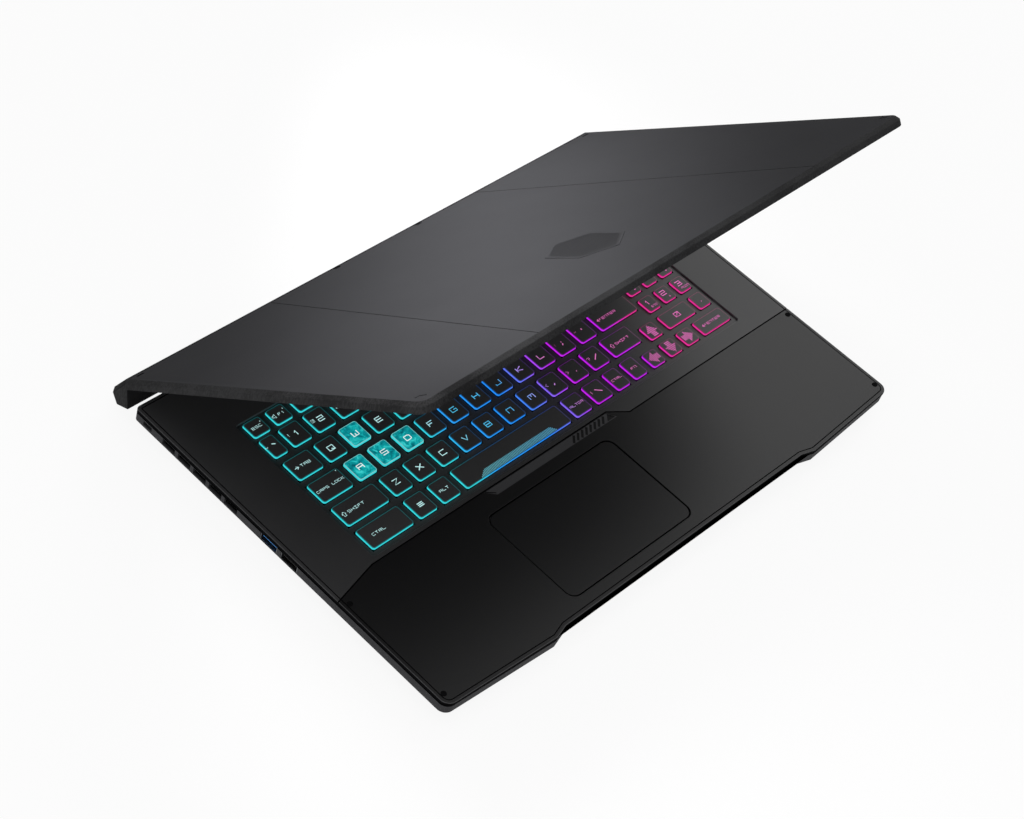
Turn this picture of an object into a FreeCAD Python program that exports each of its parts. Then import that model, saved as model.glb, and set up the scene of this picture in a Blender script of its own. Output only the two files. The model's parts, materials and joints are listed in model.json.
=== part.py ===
import FreeCAD, Part
import math
import os

# A laptop computer with its lid half open, in millimetres.
# Pieces are drawn with X from the middle, Y from the deck's front corners to the rear and Z from the deck.
# The lid is drawn closed and then turned open about its hinge line.
# Last, every piece moves to the desk frame. Its origin is on the desk, under the closed machine's middle.

# Base, outside
base_width = 398.0
base_depth = 252.5
deck_height = 18.6
foot_height = 1.6
front_bulge = 4.5
bulge_half_width = 117.0
notch_half_width = 107.0
notch_setback = 2.8
front_corner_radius = 6.0
rear_corner_radius = 3.0
rim_depth = 8.5
side_undercut = 11.0
front_undercut = 9.0
rear_undercut = 3.0

# Shells. Fused posts sink into their floor by weld, and cutters reach past a face by over.
deck_thickness = 1.8
deck_edge_chamfer = 0.6
seam = 0.4
cover_wall = 1.6
part_clearance = 0.2
weld = 0.5
over = 1.0

# Groove between the keyboard deck and the palm rest
groove_width = 0.7
groove_depth = 0.5
groove_left_drop = 8.0
groove_bend_inset = 33.0
groove_window_gap = 3.4
groove_step_x = 30.5
groove_step_run = 12.5
groove_right_drop = 8.3

# Rubber bumpers on the deck
bumper_radius = 1.75
bumper_depth = 0.9
bumper_height = 0.35
bumper_edge = 4.5
bumper_front_y = 7.5
bumper_groove_gap = 4.0

# Keyboard: caps, gaps and rows
key_gap = 4.7
cap_depth = 15.6
row_gap = 4.33
keyboard_offset = 0.85
keyboard_side_margin = 40.05
keyboard_rear_margin = 42.85
grave_width = 9.7
tab_width = 19.1
caps_lock_width = 23.5
shift_width = 32.7
control_width = 32.7
narrow_width = 11.5
backspace_width = 28.7
delete_width = 10.7
function_depth = 7.8
arrow_width = 11.6
arrow_gap = 4.95
arrow_trim = 0.5
arrow_side_gap = 5.8
pad_block_gap = 4.6
pad_width = 11.0
pad_gap = 4.3
pad_row_gap = 4.6
key_top = 0.25
key_draft = 0.35
key_corner = 1.6
key_travel = 1.5
key_roof = 1.2
key_wall = 1.2
key_slack = 0.35
key_lip = 0.4
key_lip_height = 0.6
key_stop_gap = 0.1
window_margin = 3.4
window_radius = 2.0
frame_recess = 1.3
frame_thickness = 1.3
frame_flange = 5.0
frame_skirt = 1.5
press_room = 0.4
dome_radius = 1.8
dome_room = 0.1
plate_thickness = 0.6
light_sheet_thickness = 0.5

# Touchpad
touch_left = -90.3
touch_right = 15.6
touch_front = 8.4
touch_groove_gap = 6.5
touch_radius = 6.0
touch_gap = 0.35
touch_recess = 0.25
touch_thickness = 1.5
touch_tilt = 0.5
pivot_radius = 1.2
pivot_drop = 1.5
pivot_setback = 3.2
pivot_inset = 10.0
pivot_length = 5.0
pivot_web = 4.0
eye_wall = 1.2
run_clearance = 0.05
bracket_thickness = 1.0
bracket_depth = 5.0
rail_width = 3.0
rail_gap = 1.0
switch_radius = 3.0
switch_setback = 6.0

# Hinge line and lid
hinge_setback = 13.5
hinge_drop = 6.0
lid_angle = 39.5
lid_gap = 0.6
lid_thickness = 6.0
lid_front = 0.8
lid_corner_radius = 7.0
lid_edge_rise = 1.8
lid_edge_run = 2.2
lid_skin = 1.4
lid_rim = 1.6
spine_slope_run = 12.0
spine_rear = 4.0
spine_lean = 0.5
spine_shoulder_z = 1.0
spine_heel_z = -9.0
spine_toe_z = -11.8
spine_toe_run = 5.5
spine_front_run = 12.4
spine_wall = 3.5
crease_width = 0.5
crease_depth = 0.3
crease_rear_x = 88.0
crease_front_x = 115.0

# Screen
bezel_thickness = 1.2
bezel_top = 12.0
bezel_side = 7.8
bezel_chin = 22.0
panel_back_gap = 0.8
panel_overlap = 3.3
camera_width = 50.0
camera_depth = 5.6
camera_lens_radius = 1.6
camera_lens_recess = 0.3

# Hinges
knuckle_inset = 47.0
knuckle_half = 11.0
knuckle_radius = 4.2
pin_radius = 2.0
pin_grip = 5.0
ear_thickness = 3.0
ear_radius = 4.0
ear_gap = 0.4
ear_shoulder = 1.5
ear_trim = 0.4
fixed_gap = 0.02
leaf_pad = 0.6
leaf_thickness = 1.6
leaf_depth = 12.0
leaf_half = 24.0
tongue_length = 27.0
tongue_thickness = 2.4
arm_rise = 2.6
arm_wall_gap = 0.3

# Boards and what sits on them
board_drop = 2.0
board_thickness = 1.2
board_gap = 1.5
board_fan_gap = 19.0
board_window_inset = 0.6
board_rear_setback = 20.5
board_strip_setback = 30.5
post_inset_x = 8.0
post_inset_y = 9.0
post_rear_inset = 6.0
post_fan_gap = 28.0
post_front_x = 82.0
post_right_inset = 49.0
post_socket_inset = 24.0
post_socket_run = 52.0
standoff_radius = 2.2
left_board_edge_inset = 49.0
left_board_run = 12.0
left_board_fan_gap = 8.2
left_post_edge_inset = 11.0
left_post_inset = 4.0
chip_height = 1.5
processor_x = -40.0
processor_width = 44.0
processor_depth = 36.0
graphics_x = 34.0
graphics_width = 36.0
graphics_depth = 26.0
chip_setback = 60.5
memory_length = 69.6
memory_depth = 30.0
memory_height = 3.6
memory_gap = 5.4
memory_run = 32.0
module_inset = 12.0
ssd_length = 80.0
ssd_depth = 22.0
ssd_height = 3.0
ssd_run = 5.0
wireless_gap = 31.4
wireless_length = 30.0
wireless_depth = 22.0
wireless_height = 2.2
wireless_run = 16.0

# Cooling
spreader_thickness = 1.2
spreader_margin = 4.0
spreader_corner = 4.0
pipe_floor_gap = 1.0
pipe_width = 7.0
pipe_chip_reach = 26.0
pipe_chip_spread = 9.0
pipe_bend = 6.0
pipe_fan_gap = 2.5
fin_pitch = 2.4
fin_thickness = 0.8
fin_base = 1.0
fin_depth = 11.0
fin_height = 5.2
fin_half_length = 30.0
fin_wall_gap = 0.5
fan_size = 76.0
fan_corner = 8.0
fan_roof_gap = 1.1
fan_side_gap = 3.4
fan_socket_gap = 14.4
fan_plate = 1.0
fan_wall = 3.0
fan_inlet_radius = 24.0
fan_hole_count = 6
fan_hole_radius = 5.5
fan_tip_gap = 2.0
fan_hub_radius = 12.0
fan_shaft_radius = 1.5
fan_blades = 19
fan_blade_thickness = 0.9
fan_blade_sweep = 25.0
fan_end_gap = 0.6

# Battery and speakers
battery_front = 12.0
battery_boss_gap = 6.2
battery_speaker_gap = 8.0
battery_roof_gap = 0.8
battery_tray_height = 6.0
battery_tray_wall = 1.2
cell_count = 4
cell_gap = 2.0
cell_corner = 2.0
speaker_wall_gap = 12.4
speaker_width = 28.0
speaker_front = 14.0
speaker_depth = 54.0
speaker_height = 7.4
speaker_corner = 3.0
speaker_grille_width = 18.0
speaker_grille_start = 8.0
speaker_grille_count = 5

# Sockets: gap to what stands behind them along the side, width, height and depth
socket_wall = 0.4
socket_set_in = 0.4
usb_width = 13.2
usb_height = 5.4
usb_depth = 14.0
usb_tongue_width = 11.2
usb_tongue_height = 1.9
usb_tongue_depth = 9.0
usb_tongue_gap = 0.5
usb_left_rear_gap = 19.4
usb_left_front_gap = 3.3
usb_right_gap = 5.8
usb_c_gap = 6.4
usb_c_width = 9.0
usb_c_height = 3.2
usb_c_depth = 8.0
usb_c_blade_width = 6.5
usb_c_blade_depth = 5.6
usb_c_blade_thickness = 0.7
hdmi_gap = 7.1
hdmi_width = 15.2
hdmi_height = 5.6
hdmi_depth = 12.0
hdmi_blade_width = 12.2
hdmi_blade_depth = 8.4
hdmi_blade_thickness = 1.0
lan_gap = 8.0
lan_width = 14.6
lan_height = 7.6
lan_depth = 16.0
lan_wall = 1.2
lan_set_in = 2.6
audio_gap = 8.0
audio_width = 7.0
audio_height = 5.6
audio_depth = 14.0
audio_radius = 1.8
audio_bore = 12.0
power_setback = 38.5
power_width = 9.4
power_height = 7.0
power_depth = 13.0
power_radius = 2.75
power_bore = 10.4
power_pin_radius = 0.7
power_pin_set_in = 1.0
socket_roof_gap = 0.5
lock_setback = 11.5
lock_width = 7.0
lock_height = 3.0
lock_plate_thickness = 1.5
vent_count = 5
vent_rear_setback = 24.5
vent_run = 63.0
vent_bar = 2.6
vent_height = 4.2
rear_vent_pitch = 6.0
rear_vent_width = 3.6
rear_vent_sill = 0.8
rear_vent_head = 2.4
grille_pitch = 5.0
grille_width = 2.4
grille_count = 9

# Feet, bosses and screws
foot_width = 10.0
foot_corner = 4.9
foot_rear_length = 84.0
foot_front_length = 52.0
foot_inset = 77.0
foot_rear_setback = 16.5
foot_front_y = 24.0
boss_radius = 3.0
boss_split = -9.0
boss_edge = 1.6
boss_front_y = 16.0
boss_fan_gap = 20.0
boss_wide_inset = 79.0
screw_radius = 1.2
screw_head_radius = 2.2
screw_head_height = 0.9
screw_end = -5.0

# Values worked out from the sizes above
half_width = base_width / 2
floor_outside = foot_height - deck_height
floor_inside = floor_outside + cover_wall
deck_underside = -deck_thickness
cover_top = deck_underside - seam
inner_x = half_width - cover_wall
inner_rear = base_depth - cover_wall
hinge_y = base_depth + hinge_setback
hinge_z = -hinge_drop
lid_low = lid_gap
lid_top = lid_gap + lid_thickness
lid_inside = lid_top - lid_skin
spine_start = hinge_y - spine_slope_run
spine_front = hinge_y - spine_front_run
cavity_rear = spine_front - spine_wall
knuckle_x = half_width - knuckle_inset
row_pitch = cap_depth + row_gap
pad_pitch = pad_width + pad_gap
pad_block_width = 2 * pad_pitch + pad_width
keyboard_width = base_width - 2 * keyboard_side_margin
key_block_width = keyboard_width - pad_block_gap - pad_block_width
cap_width = (key_block_width - grave_width - backspace_width - 13 * key_gap) / 12
key_block_left = keyboard_offset - keyboard_width / 2
key_block_right = key_block_left + key_block_width
function_width = (key_block_width - delete_width - 15 * key_gap) / 15
window_y1 = base_depth - keyboard_rear_margin
function_front = window_y1 - window_margin - function_depth
key_block_front = function_front - 5 * row_pitch
pad_left = key_block_right + pad_block_gap
pad_right = pad_left + pad_block_width
pad_row_pitch = 5 * row_pitch / 6
pad_depth = pad_row_pitch - pad_row_gap
arrow_pitch = arrow_width + arrow_gap
arrow_left = pad_left + pad_width - arrow_trim - 2 * arrow_pitch - arrow_width
window_x0 = key_block_left - window_margin
window_x1 = pad_right + window_margin
window_y0 = key_block_front - window_margin
groove_middle_y = window_y0 - groove_window_gap
groove_left_y = groove_middle_y - groove_left_drop
groove_right_y = groove_middle_y - groove_right_drop
bumper_rear_y = groove_right_y - bumper_groove_gap
touch_rear = groove_right_y - touch_groove_gap
frame_top = -frame_recess
frame_bottom = frame_top - frame_thickness
lip_top = frame_bottom - key_stop_gap
key_bottom = lip_top - key_lip_height
plate_top = key_bottom - key_travel - press_room
light_top = plate_top - plate_thickness
keyboard_bottom = light_top - light_sheet_thickness
dome_top = key_top - key_roof - key_travel - dome_room
board_top = keyboard_bottom - board_drop
board_bottom = board_top - board_thickness
chip_bottom = board_bottom - chip_height
spreader_bottom = chip_bottom - spreader_thickness
pipe_bottom = floor_inside + pipe_floor_gap
fan_top = keyboard_bottom - fan_roof_gap
touch_top = -touch_recess
touch_bottom = touch_top - touch_thickness
pivot_y = touch_rear - pivot_setback
pivot_z = touch_bottom - pivot_drop
bracket_top = -bracket_depth
battery_top = bracket_top - bracket_thickness - battery_roof_gap
fin_rear_y = inner_rear - rear_undercut - fin_wall_gap
fin_middle_y = fin_rear_y - fin_depth / 2
fan_half = fan_size / 2
fan_y = fin_rear_y - fin_depth - part_clearance - fan_half
fan_front_y = fan_y - fan_half
fan_left_x = fan_half + fan_side_gap + side_undercut - inner_x
fan_right_x = half_width - lan_set_in - lan_depth - fan_socket_gap - fan_half
fin_spans = [(x - fin_half_length, x + fin_half_length) for x in (fan_left_x, fan_right_x)]
board_left = fan_left_x + fan_half + board_fan_gap
board_front = window_y0 + board_window_inset
board_rear = base_depth - board_rear_setback
post_middle_x = fan_right_x - fan_half - post_fan_gap
post_right_x = half_width - post_right_inset
post_socket_x = half_width - post_socket_inset
post_socket_y = board_front + post_socket_run
left_board_right = left_board_edge_inset - half_width
left_board_front = board_front + left_board_run
left_post_outer_x = left_post_edge_inset - half_width
chip_y = base_depth - chip_setback
memory_front = board_front + memory_run
memory_left = board_left + module_inset
memory_right = memory_left + 2 * memory_length + memory_gap
ssd_front = board_front + ssd_run
wireless_x = memory_right + wireless_gap
wireless_front = board_front + wireless_run
power_y = base_depth - power_setback
lan_y = power_y - power_width / 2 - lan_gap - lan_width / 2
hdmi_y = lan_y - lan_width / 2 - hdmi_gap - hdmi_width / 2
usb_right_y = hdmi_y - hdmi_width / 2 - usb_right_gap - usb_width / 2
usb_c_y = usb_right_y - usb_width / 2 - usb_c_gap - usb_c_width / 2
audio_y = usb_c_y - usb_c_width / 2 - audio_gap - audio_width / 2
lock_y = base_depth - lock_setback
vent_rear_y = base_depth - vent_rear_setback
vent_front_y = vent_rear_y - vent_run
usb_left_rear_y = vent_front_y - usb_left_rear_gap - usb_width / 2
usb_left_front_y = usb_left_rear_y - usb_left_front_gap - usb_width
foot_x = half_width - foot_inset
foot_rear_y = base_depth - foot_rear_setback
boss_x = inner_x - side_undercut - boss_radius - boss_edge
boss_inner_x = fan_right_x - fan_half - boss_fan_gap
boss_wide_x = half_width - boss_wide_inset
boss_rear_y = inner_rear - rear_undercut - boss_radius + boss_edge
boss_middle_y = window_y0 - frame_flange - boss_radius - part_clearance
speaker_right = inner_x - side_undercut - speaker_wall_gap
speaker_left = speaker_right - speaker_width
battery_half_width = speaker_left - battery_speaker_gap
battery_rear = boss_middle_y - boss_radius - battery_boss_gap
lan_base = cover_top - socket_roof_gap - lan_height
power_base = cover_top - socket_roof_gap - power_height
slot_middle = (cover_top - rim_depth) / 2
ear_reach = knuckle_half + ear_gap + ear_thickness
slot_half = ear_reach + ear_gap
leaf_top = lid_inside - leaf_pad
leaf_low = leaf_top - leaf_thickness
panel_low = lid_low + bezel_thickness
panel_high = lid_inside - panel_back_gap
glass_y0 = lid_front + bezel_top
glass_y1 = cavity_rear - bezel_chin
camera_y = (lid_front + lid_rim + glass_y0 - panel_overlap) / 2
closed_middle_y = (hinge_y + spine_rear - front_bulge) / 2
pivots = [(touch_left + pivot_inset, 1), (touch_right - pivot_inset, -1)]
bosses = [
    (-boss_x, boss_front_y), (boss_x, boss_front_y), (-boss_x, boss_middle_y), (boss_x, boss_middle_y),
    (-boss_x, boss_rear_y), (boss_x, boss_rear_y), (-boss_inner_x, boss_rear_y), (boss_inner_x, boss_rear_y),
    (-boss_wide_x, boss_middle_y), (0.0, boss_middle_y), (boss_wide_x, boss_middle_y),
]
board_posts = [
    (board_left + post_inset_x, board_front + post_inset_y),
    (board_left + post_inset_x, board_rear - post_rear_inset),
    (post_middle_x, board_rear - post_rear_inset), (post_front_x, board_front + post_inset_y),
    (post_right_x, board_front + post_inset_y), (post_socket_x, post_socket_y),
]
left_board_rear = fan_front_y - left_board_fan_gap
left_board_posts = [
    (left_post_outer_x, left_board_front + left_post_inset),
    (left_board_right - left_post_inset, left_board_rear - left_post_inset),
]
single_keys = ["w", "a", "s", "d", "up", "left", "down", "right", "space", "enter", "power"]


def point(x, y, z=0.0):
    return FreeCAD.Vector(x, y, z)


def block(x0, x1, y0, y1, z0, z1):
    return Part.makeBox(x1 - x0, y1 - y0, z1 - z0, point(x0, y0, z0))


def rounded_wire(x0, x1, y0, y1, z, r):
    k = r * (1 - math.sqrt(0.5))
    corners = [
        (point(x1 - r, y0, z), point(x1 - k, y0 + k, z), point(x1, y0 + r, z)),
        (point(x1, y1 - r, z), point(x1 - k, y1 - k, z), point(x1 - r, y1, z)),
        (point(x0 + r, y1, z), point(x0 + k, y1 - k, z), point(x0, y1 - r, z)),
        (point(x0, y0 + r, z), point(x0 + k, y0 + k, z), point(x0 + r, y0, z)),
    ]
    edges = []
    for i, corner in enumerate(corners):
        edges.append(Part.LineSegment(corners[i - 1][2], corner[0]).toShape())
        edges.append(Part.Arc(*corner).toShape())
    return Part.Wire(edges)


def rounded_block(x0, x1, y0, y1, z0, z1, r):
    return Part.Face(rounded_wire(x0, x1, y0, y1, z0, r)).extrude(point(0, 0, z1 - z0))


def prism(points, z0, z1):
    ring = [point(x, y, z0) for x, y in points]
    return Part.Face(Part.makePolygon(ring + ring[:1])).extrude(point(0, 0, z1 - z0))


def prism_along_x(points, x0, x1):
    ring = [point(x0, y, z) for y, z in points]
    return Part.Face(Part.makePolygon(ring + ring[:1])).extrude(point(x1 - x0, 0, 0))


def prism_along_y(points, y0, y1):
    ring = [point(x, y0, z) for x, z in points]
    return Part.Face(Part.makePolygon(ring + ring[:1])).extrude(point(0, y1 - y0, 0))


def post(x, y, r, z0, z1):
    return Part.makeCylinder(r, z1 - z0, point(x, y, z0))


def rod_along_x(y, z, r, x0, x1):
    return Part.makeCylinder(r, x1 - x0, point(x0, y, z), point(1, 0, 0))


def ribbon(points, width, z0, z1):
    pieces = []
    for (xa, ya), (xb, yb) in zip(points, points[1:]):
        bar = Part.makeBox(math.hypot(xb - xa, yb - ya), width, z1 - z0, point(0, -width / 2, z0))
        bar.rotate(point(0, 0), point(0, 0, 1), math.degrees(math.atan2(yb - ya, xb - xa)))
        bar.translate(point(xa, ya))
        pieces.append(bar)
    for x, y in points[1:-1]:
        pieces.append(post(x, y, width / 2, z0, z1))
    return pieces[0].fuse(pieces[1:]).removeSplitter()


def mirrored(shape):
    return shape.mirror(point(0, 0), point(1, 0))


# Outline of the base seen from above, drawn in from the sides, the front and the rear
def outline(side, front, rear, z):
    x = half_width - side
    y1 = base_depth - rear
    r = front_corner_radius
    q = rear_corner_radius
    k = r * (1 - math.sqrt(0.5))
    n = q * (1 - math.sqrt(0.5))
    bulge = front - front_bulge
    notch = bulge + notch_setback
    line = [
        (-x + r, front), (-bulge_half_width, bulge), (-notch_half_width, notch),
        (notch_half_width, notch), (bulge_half_width, bulge), (x - r, front),
    ]
    edges = []
    for (xa, ya), (xb, yb) in zip(line, line[1:]):
        edges.append(Part.LineSegment(point(xa, ya, z), point(xb, yb, z)).toShape())
    corners = [
        ((x - r, front), (x - k, front + k), (x, front + r)),
        ((x, y1 - q), (x - n, y1 - n), (x - q, y1)),
        ((-x + q, y1), (-x + n, y1 - n), (-x, y1 - q)),
        ((-x, front + r), (-x + k, front + k), (-x + r, front)),
    ]
    for i, corner in enumerate(corners):
        arc = [point(px, py, z) for px, py in corner]
        if i:
            edges.append(Part.LineSegment(last, arc[0]).toShape())
        edges.append(Part.Arc(*arc).toShape())
        last = arc[2]
    return Part.Wire(edges)


def slab(inset, z0, z1):
    return Part.Face(outline(inset, inset, inset, z0)).extrude(point(0, 0, z1 - z0))


# A tub with upright rim walls and a floor drawn in below them
def tub(inset, floor, top):
    low = outline(side_undercut + inset, front_undercut + inset, rear_undercut + inset, floor)
    high = outline(inset, inset, inset, -rim_depth)
    return Part.makeLoft([low, high], True, True).fuse(slab(inset, -rim_depth, top)).removeSplitter()


# Half the room between the side walls at a height below the upright rim
def inner_wall_x(z):
    return inner_x - side_undercut * (-rim_depth - z) / (-rim_depth - floor_inside)


# Sockets. Each is drawn on the right side and mirrored to the left where it belongs there.
def socket_shell(y, width, height, depth, base=board_top, wall=socket_wall, set_in=socket_set_in):
    x1 = half_width - set_in
    shell = block(x1 - depth, x1, y - width / 2, y + width / 2, base, base + height)
    room = block(x1 - depth + wall, x1 + wall, y - width / 2 + wall, y + width / 2 - wall,
                 base + wall, base + height - wall)
    return shell.cut(room)


def socket_cut(y, width, height, base=board_top):
    gap = part_clearance
    return block(half_width - side_undercut - usb_depth, half_width + cover_wall,
                 y - width / 2 - gap, y + width / 2 + gap, base - gap, base + height + gap)


# A tongue or blade that stands on the inside of a socket's back wall
def tongue(y, socket_depth, width, height, depth, z):
    x0 = half_width - socket_set_in - socket_depth + socket_wall
    return block(x0, x0 + depth, y - width / 2, y + width / 2, z, z + height)


def usb_ports():
    parts = []
    high = board_top + usb_height - socket_wall - usb_tongue_height - usb_tongue_gap
    for y, left in [(usb_left_rear_y, True), (usb_left_front_y, True), (usb_right_y, False)]:
        shell = socket_shell(y, usb_width, usb_height, usb_depth)
        plate = tongue(y, usb_depth, usb_tongue_width, usb_tongue_height, usb_tongue_depth, high)
        for piece in (shell, plate):
            parts.append(mirrored(piece) if left else piece)
    return Part.makeCompound(parts)


def usb_c_port():
    shell = socket_shell(usb_c_y, usb_c_width, usb_c_height, usb_c_depth)
    low = board_top + (usb_c_height - usb_c_blade_thickness) / 2
    root = usb_c_blade_depth + socket_wall
    blade = tongue(usb_c_y, usb_c_depth + socket_wall, usb_c_blade_width, usb_c_blade_thickness, root, low)
    return shell.fuse(blade)


def hdmi_port():
    shell = socket_shell(hdmi_y, hdmi_width, hdmi_height, hdmi_depth)
    low = board_top + (hdmi_height - hdmi_blade_thickness) / 2
    root = hdmi_blade_depth + socket_wall
    blade = tongue(hdmi_y, hdmi_depth + socket_wall, hdmi_blade_width, hdmi_blade_thickness, root, low)
    return shell.fuse(blade)


def lan_port():
    return socket_shell(lan_y, lan_width, lan_height, lan_depth, lan_base, lan_wall, lan_set_in)


def audio_jack():
    x1 = half_width - socket_set_in
    body = block(x1 - audio_depth, x1, audio_y - audio_width / 2, audio_y + audio_width / 2,
                 board_top, board_top + audio_height)
    return body.cut(rod_along_x(audio_y, board_top + audio_height / 2, audio_radius, x1 - audio_bore,
                                x1 + over))


def power_inlet():
    x1 = half_width - socket_set_in
    middle = power_base + power_height / 2
    body = block(x1 - power_depth, x1, power_y - power_width / 2, power_y + power_width / 2,
                 power_base, power_base + power_height)
    body = body.cut(rod_along_x(power_y, middle, power_radius, x1 - power_bore, x1 + over))
    pin = rod_along_x(power_y, middle, power_pin_radius, x1 - power_bore - weld, x1 - power_pin_set_in)
    return body.fuse(pin)


def lock_plate():
    plate = block(-inner_x, lock_plate_thickness - inner_x, lock_y - lock_width, lock_y + lock_width,
                  -rim_depth, cover_top - socket_roof_gap)
    return plate.cut(lock_cut())


def lock_cut():
    return block(-half_width - over, lock_plate_thickness - inner_x + over, lock_y - lock_width / 2,
                 lock_y + lock_width / 2, slot_middle - lock_height / 2, slot_middle + lock_height / 2)


# Bottom cover with its bosses, vents and socket openings
def side_vents():
    pitch = (vent_rear_y - vent_front_y + vent_bar) / vent_count
    cuts = []
    for i in range(vent_count):
        y = vent_front_y + i * pitch
        cuts.append(block(-half_width - over, over - inner_x, y, y + pitch - vent_bar,
                          slot_middle - vent_height / 2, slot_middle + vent_height / 2))
    return cuts


def rear_vents():
    cuts = []
    for x0, x1 in fin_spans:
        count = int((x1 - x0) / rear_vent_pitch)
        for i in range(count):
            x = x0 + (i + 0.5) * (x1 - x0) / count
            near_hinge = abs(abs(x) - knuckle_x) < knuckle_half + rear_vent_pitch
            high = hinge_z - knuckle_radius - seam if near_hinge else cover_top - rear_vent_head
            cuts.append(block(x - rear_vent_width / 2, x + rear_vent_width / 2,
                              inner_rear - rear_undercut - over, base_depth + over,
                              floor_inside + rear_vent_sill, high))
    return cuts


def floor_slot(x, y, half):
    return block(x - half, x + half, y - grille_width / 2, y + grille_width / 2,
                 floor_outside - over, floor_inside + weld)


def floor_grilles():
    cuts = []
    for fan_x in (fan_left_x, fan_right_x):
        for i in range(grille_count):
            y = fan_y + (i - (grille_count - 1) / 2) * grille_pitch
            cuts.append(floor_slot(fan_x, y, math.sqrt(fan_inlet_radius ** 2 - (y - fan_y) ** 2)))
    for side in (-1, 1):
        middle = side * (speaker_left + speaker_right) / 2
        for i in range(speaker_grille_count):
            y = speaker_front + speaker_grille_start + i * grille_pitch
            cuts.append(floor_slot(middle, y, speaker_grille_width / 2))
    return cuts


def hinge_slots():
    cuts = []
    for side in (-1, 1):
        x = side * knuckle_x
        cuts.append(block(x - knuckle_half - seam, x + knuckle_half + seam, inner_rear - over,
                          base_depth + over, hinge_z - arm_rise - seam, cover_top + over))
    return cuts


def bottom_cover():
    shell = tub(0, floor_outside, cover_top).cut(tub(cover_wall, floor_inside, cover_top + over))
    posts = [post(x, y, boss_radius, floor_inside - weld, boss_split) for x, y in bosses]
    for x, y in board_posts + left_board_posts:
        posts.append(post(x, y, standoff_radius, floor_inside - weld, board_bottom))
    shell = shell.fuse(posts)
    cuts = side_vents() + rear_vents() + floor_grilles() + hinge_slots() + [lock_cut()]
    for y, width, height, base in [
        (usb_right_y, usb_width, usb_height, board_top), (usb_c_y, usb_c_width, usb_c_height, board_top),
        (hdmi_y, hdmi_width, hdmi_height, board_top), (lan_y, lan_width, lan_height, lan_base),
        (audio_y, audio_width, audio_height, board_top), (power_y, power_width, power_height, power_base),
    ]:
        cuts.append(socket_cut(y, width, height, base))
    for y in (usb_left_rear_y, usb_left_front_y):
        cuts.append(mirrored(socket_cut(y, usb_width, usb_height)))
    for x, y in bosses:
        cuts.append(post(x, y, screw_radius + fixed_gap, floor_outside - over, boss_split + over))
        cuts.append(post(x, y, screw_head_radius + fixed_gap, floor_outside - over,
                         floor_outside + screw_head_height))
    return shell.cut(cuts)


def bottom_screws():
    screws = []
    for x, y in bosses:
        head = post(x, y, screw_head_radius, floor_outside, floor_outside + screw_head_height)
        screws.append(head.fuse(post(x, y, screw_radius, floor_outside, screw_end)).removeSplitter())
    return Part.makeCompound(screws)


def rubber_feet():
    feet = []
    for length, y in ((foot_rear_length, foot_rear_y), (foot_front_length, foot_front_y)):
        for x in (-foot_x, foot_x):
            feet.append(rounded_block(x - length / 2, x + length / 2, y - foot_width / 2, y + foot_width / 2,
                                      -deck_height, floor_outside, foot_corner))
    return Part.makeCompound(feet)


# Top case: keyboard deck and palm rest
def bumper_places():
    x = half_width - bumper_edge
    return [(-x, bumper_front_y), (x, bumper_front_y), (-x, bumper_rear_y), (x, bumper_rear_y)]


def palm_bumpers():
    pads = [post(x, y, bumper_radius, -bumper_depth, bumper_height) for x, y in bumper_places()]
    return Part.makeCompound(pads)


def top_case():
    deck = slab(0, deck_underside, 0)
    rim = [e for e in deck.Edges if all(abs(v.Z) < 0.001 for v in e.Vertexes)]
    deck = deck.makeChamfer(deck_edge_chamfer, rim)
    posts = [post(x, y, boss_radius, boss_split, deck_underside + weld) for x, y in bosses]
    deck = deck.fuse(posts)
    groove = [
        (-half_width - over, groove_left_y), (-half_width + groove_bend_inset, groove_middle_y),
        (groove_step_x, groove_middle_y), (groove_step_x + groove_step_run, groove_right_y),
        (half_width + over, groove_right_y),
    ]
    cuts = [
        rounded_block(window_x0, window_x1, window_y0, window_y1,
                      deck_underside - over, over, window_radius),
        rounded_block(touch_left - touch_gap, touch_right + touch_gap, touch_front - touch_gap,
                      touch_rear + touch_gap, deck_underside - over, over, touch_radius + touch_gap),
        ribbon(groove, groove_width, -groove_depth, over),
    ]
    cuts += [post(x, y, bumper_radius + fixed_gap, -bumper_depth, over) for x, y in bumper_places()]
    cuts += [post(x, y, screw_radius + fixed_gap, boss_split - over, screw_end) for x, y in bosses]
    return deck.cut(cuts)


# Keys: every cap has a name and a box, and each node holds some of the names
def key_row(front, depth, names, widths):
    boxes = {}
    x = key_block_left
    for name, width in zip(names, widths):
        boxes[name] = (x, front, width, depth)
        x += width + key_gap
    return boxes


# What is left of a row up to its right end, once the other keys have their widths
def rest_of_row(other_widths, right):
    return right - key_block_left - sum(width + key_gap for width in other_widths)


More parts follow.
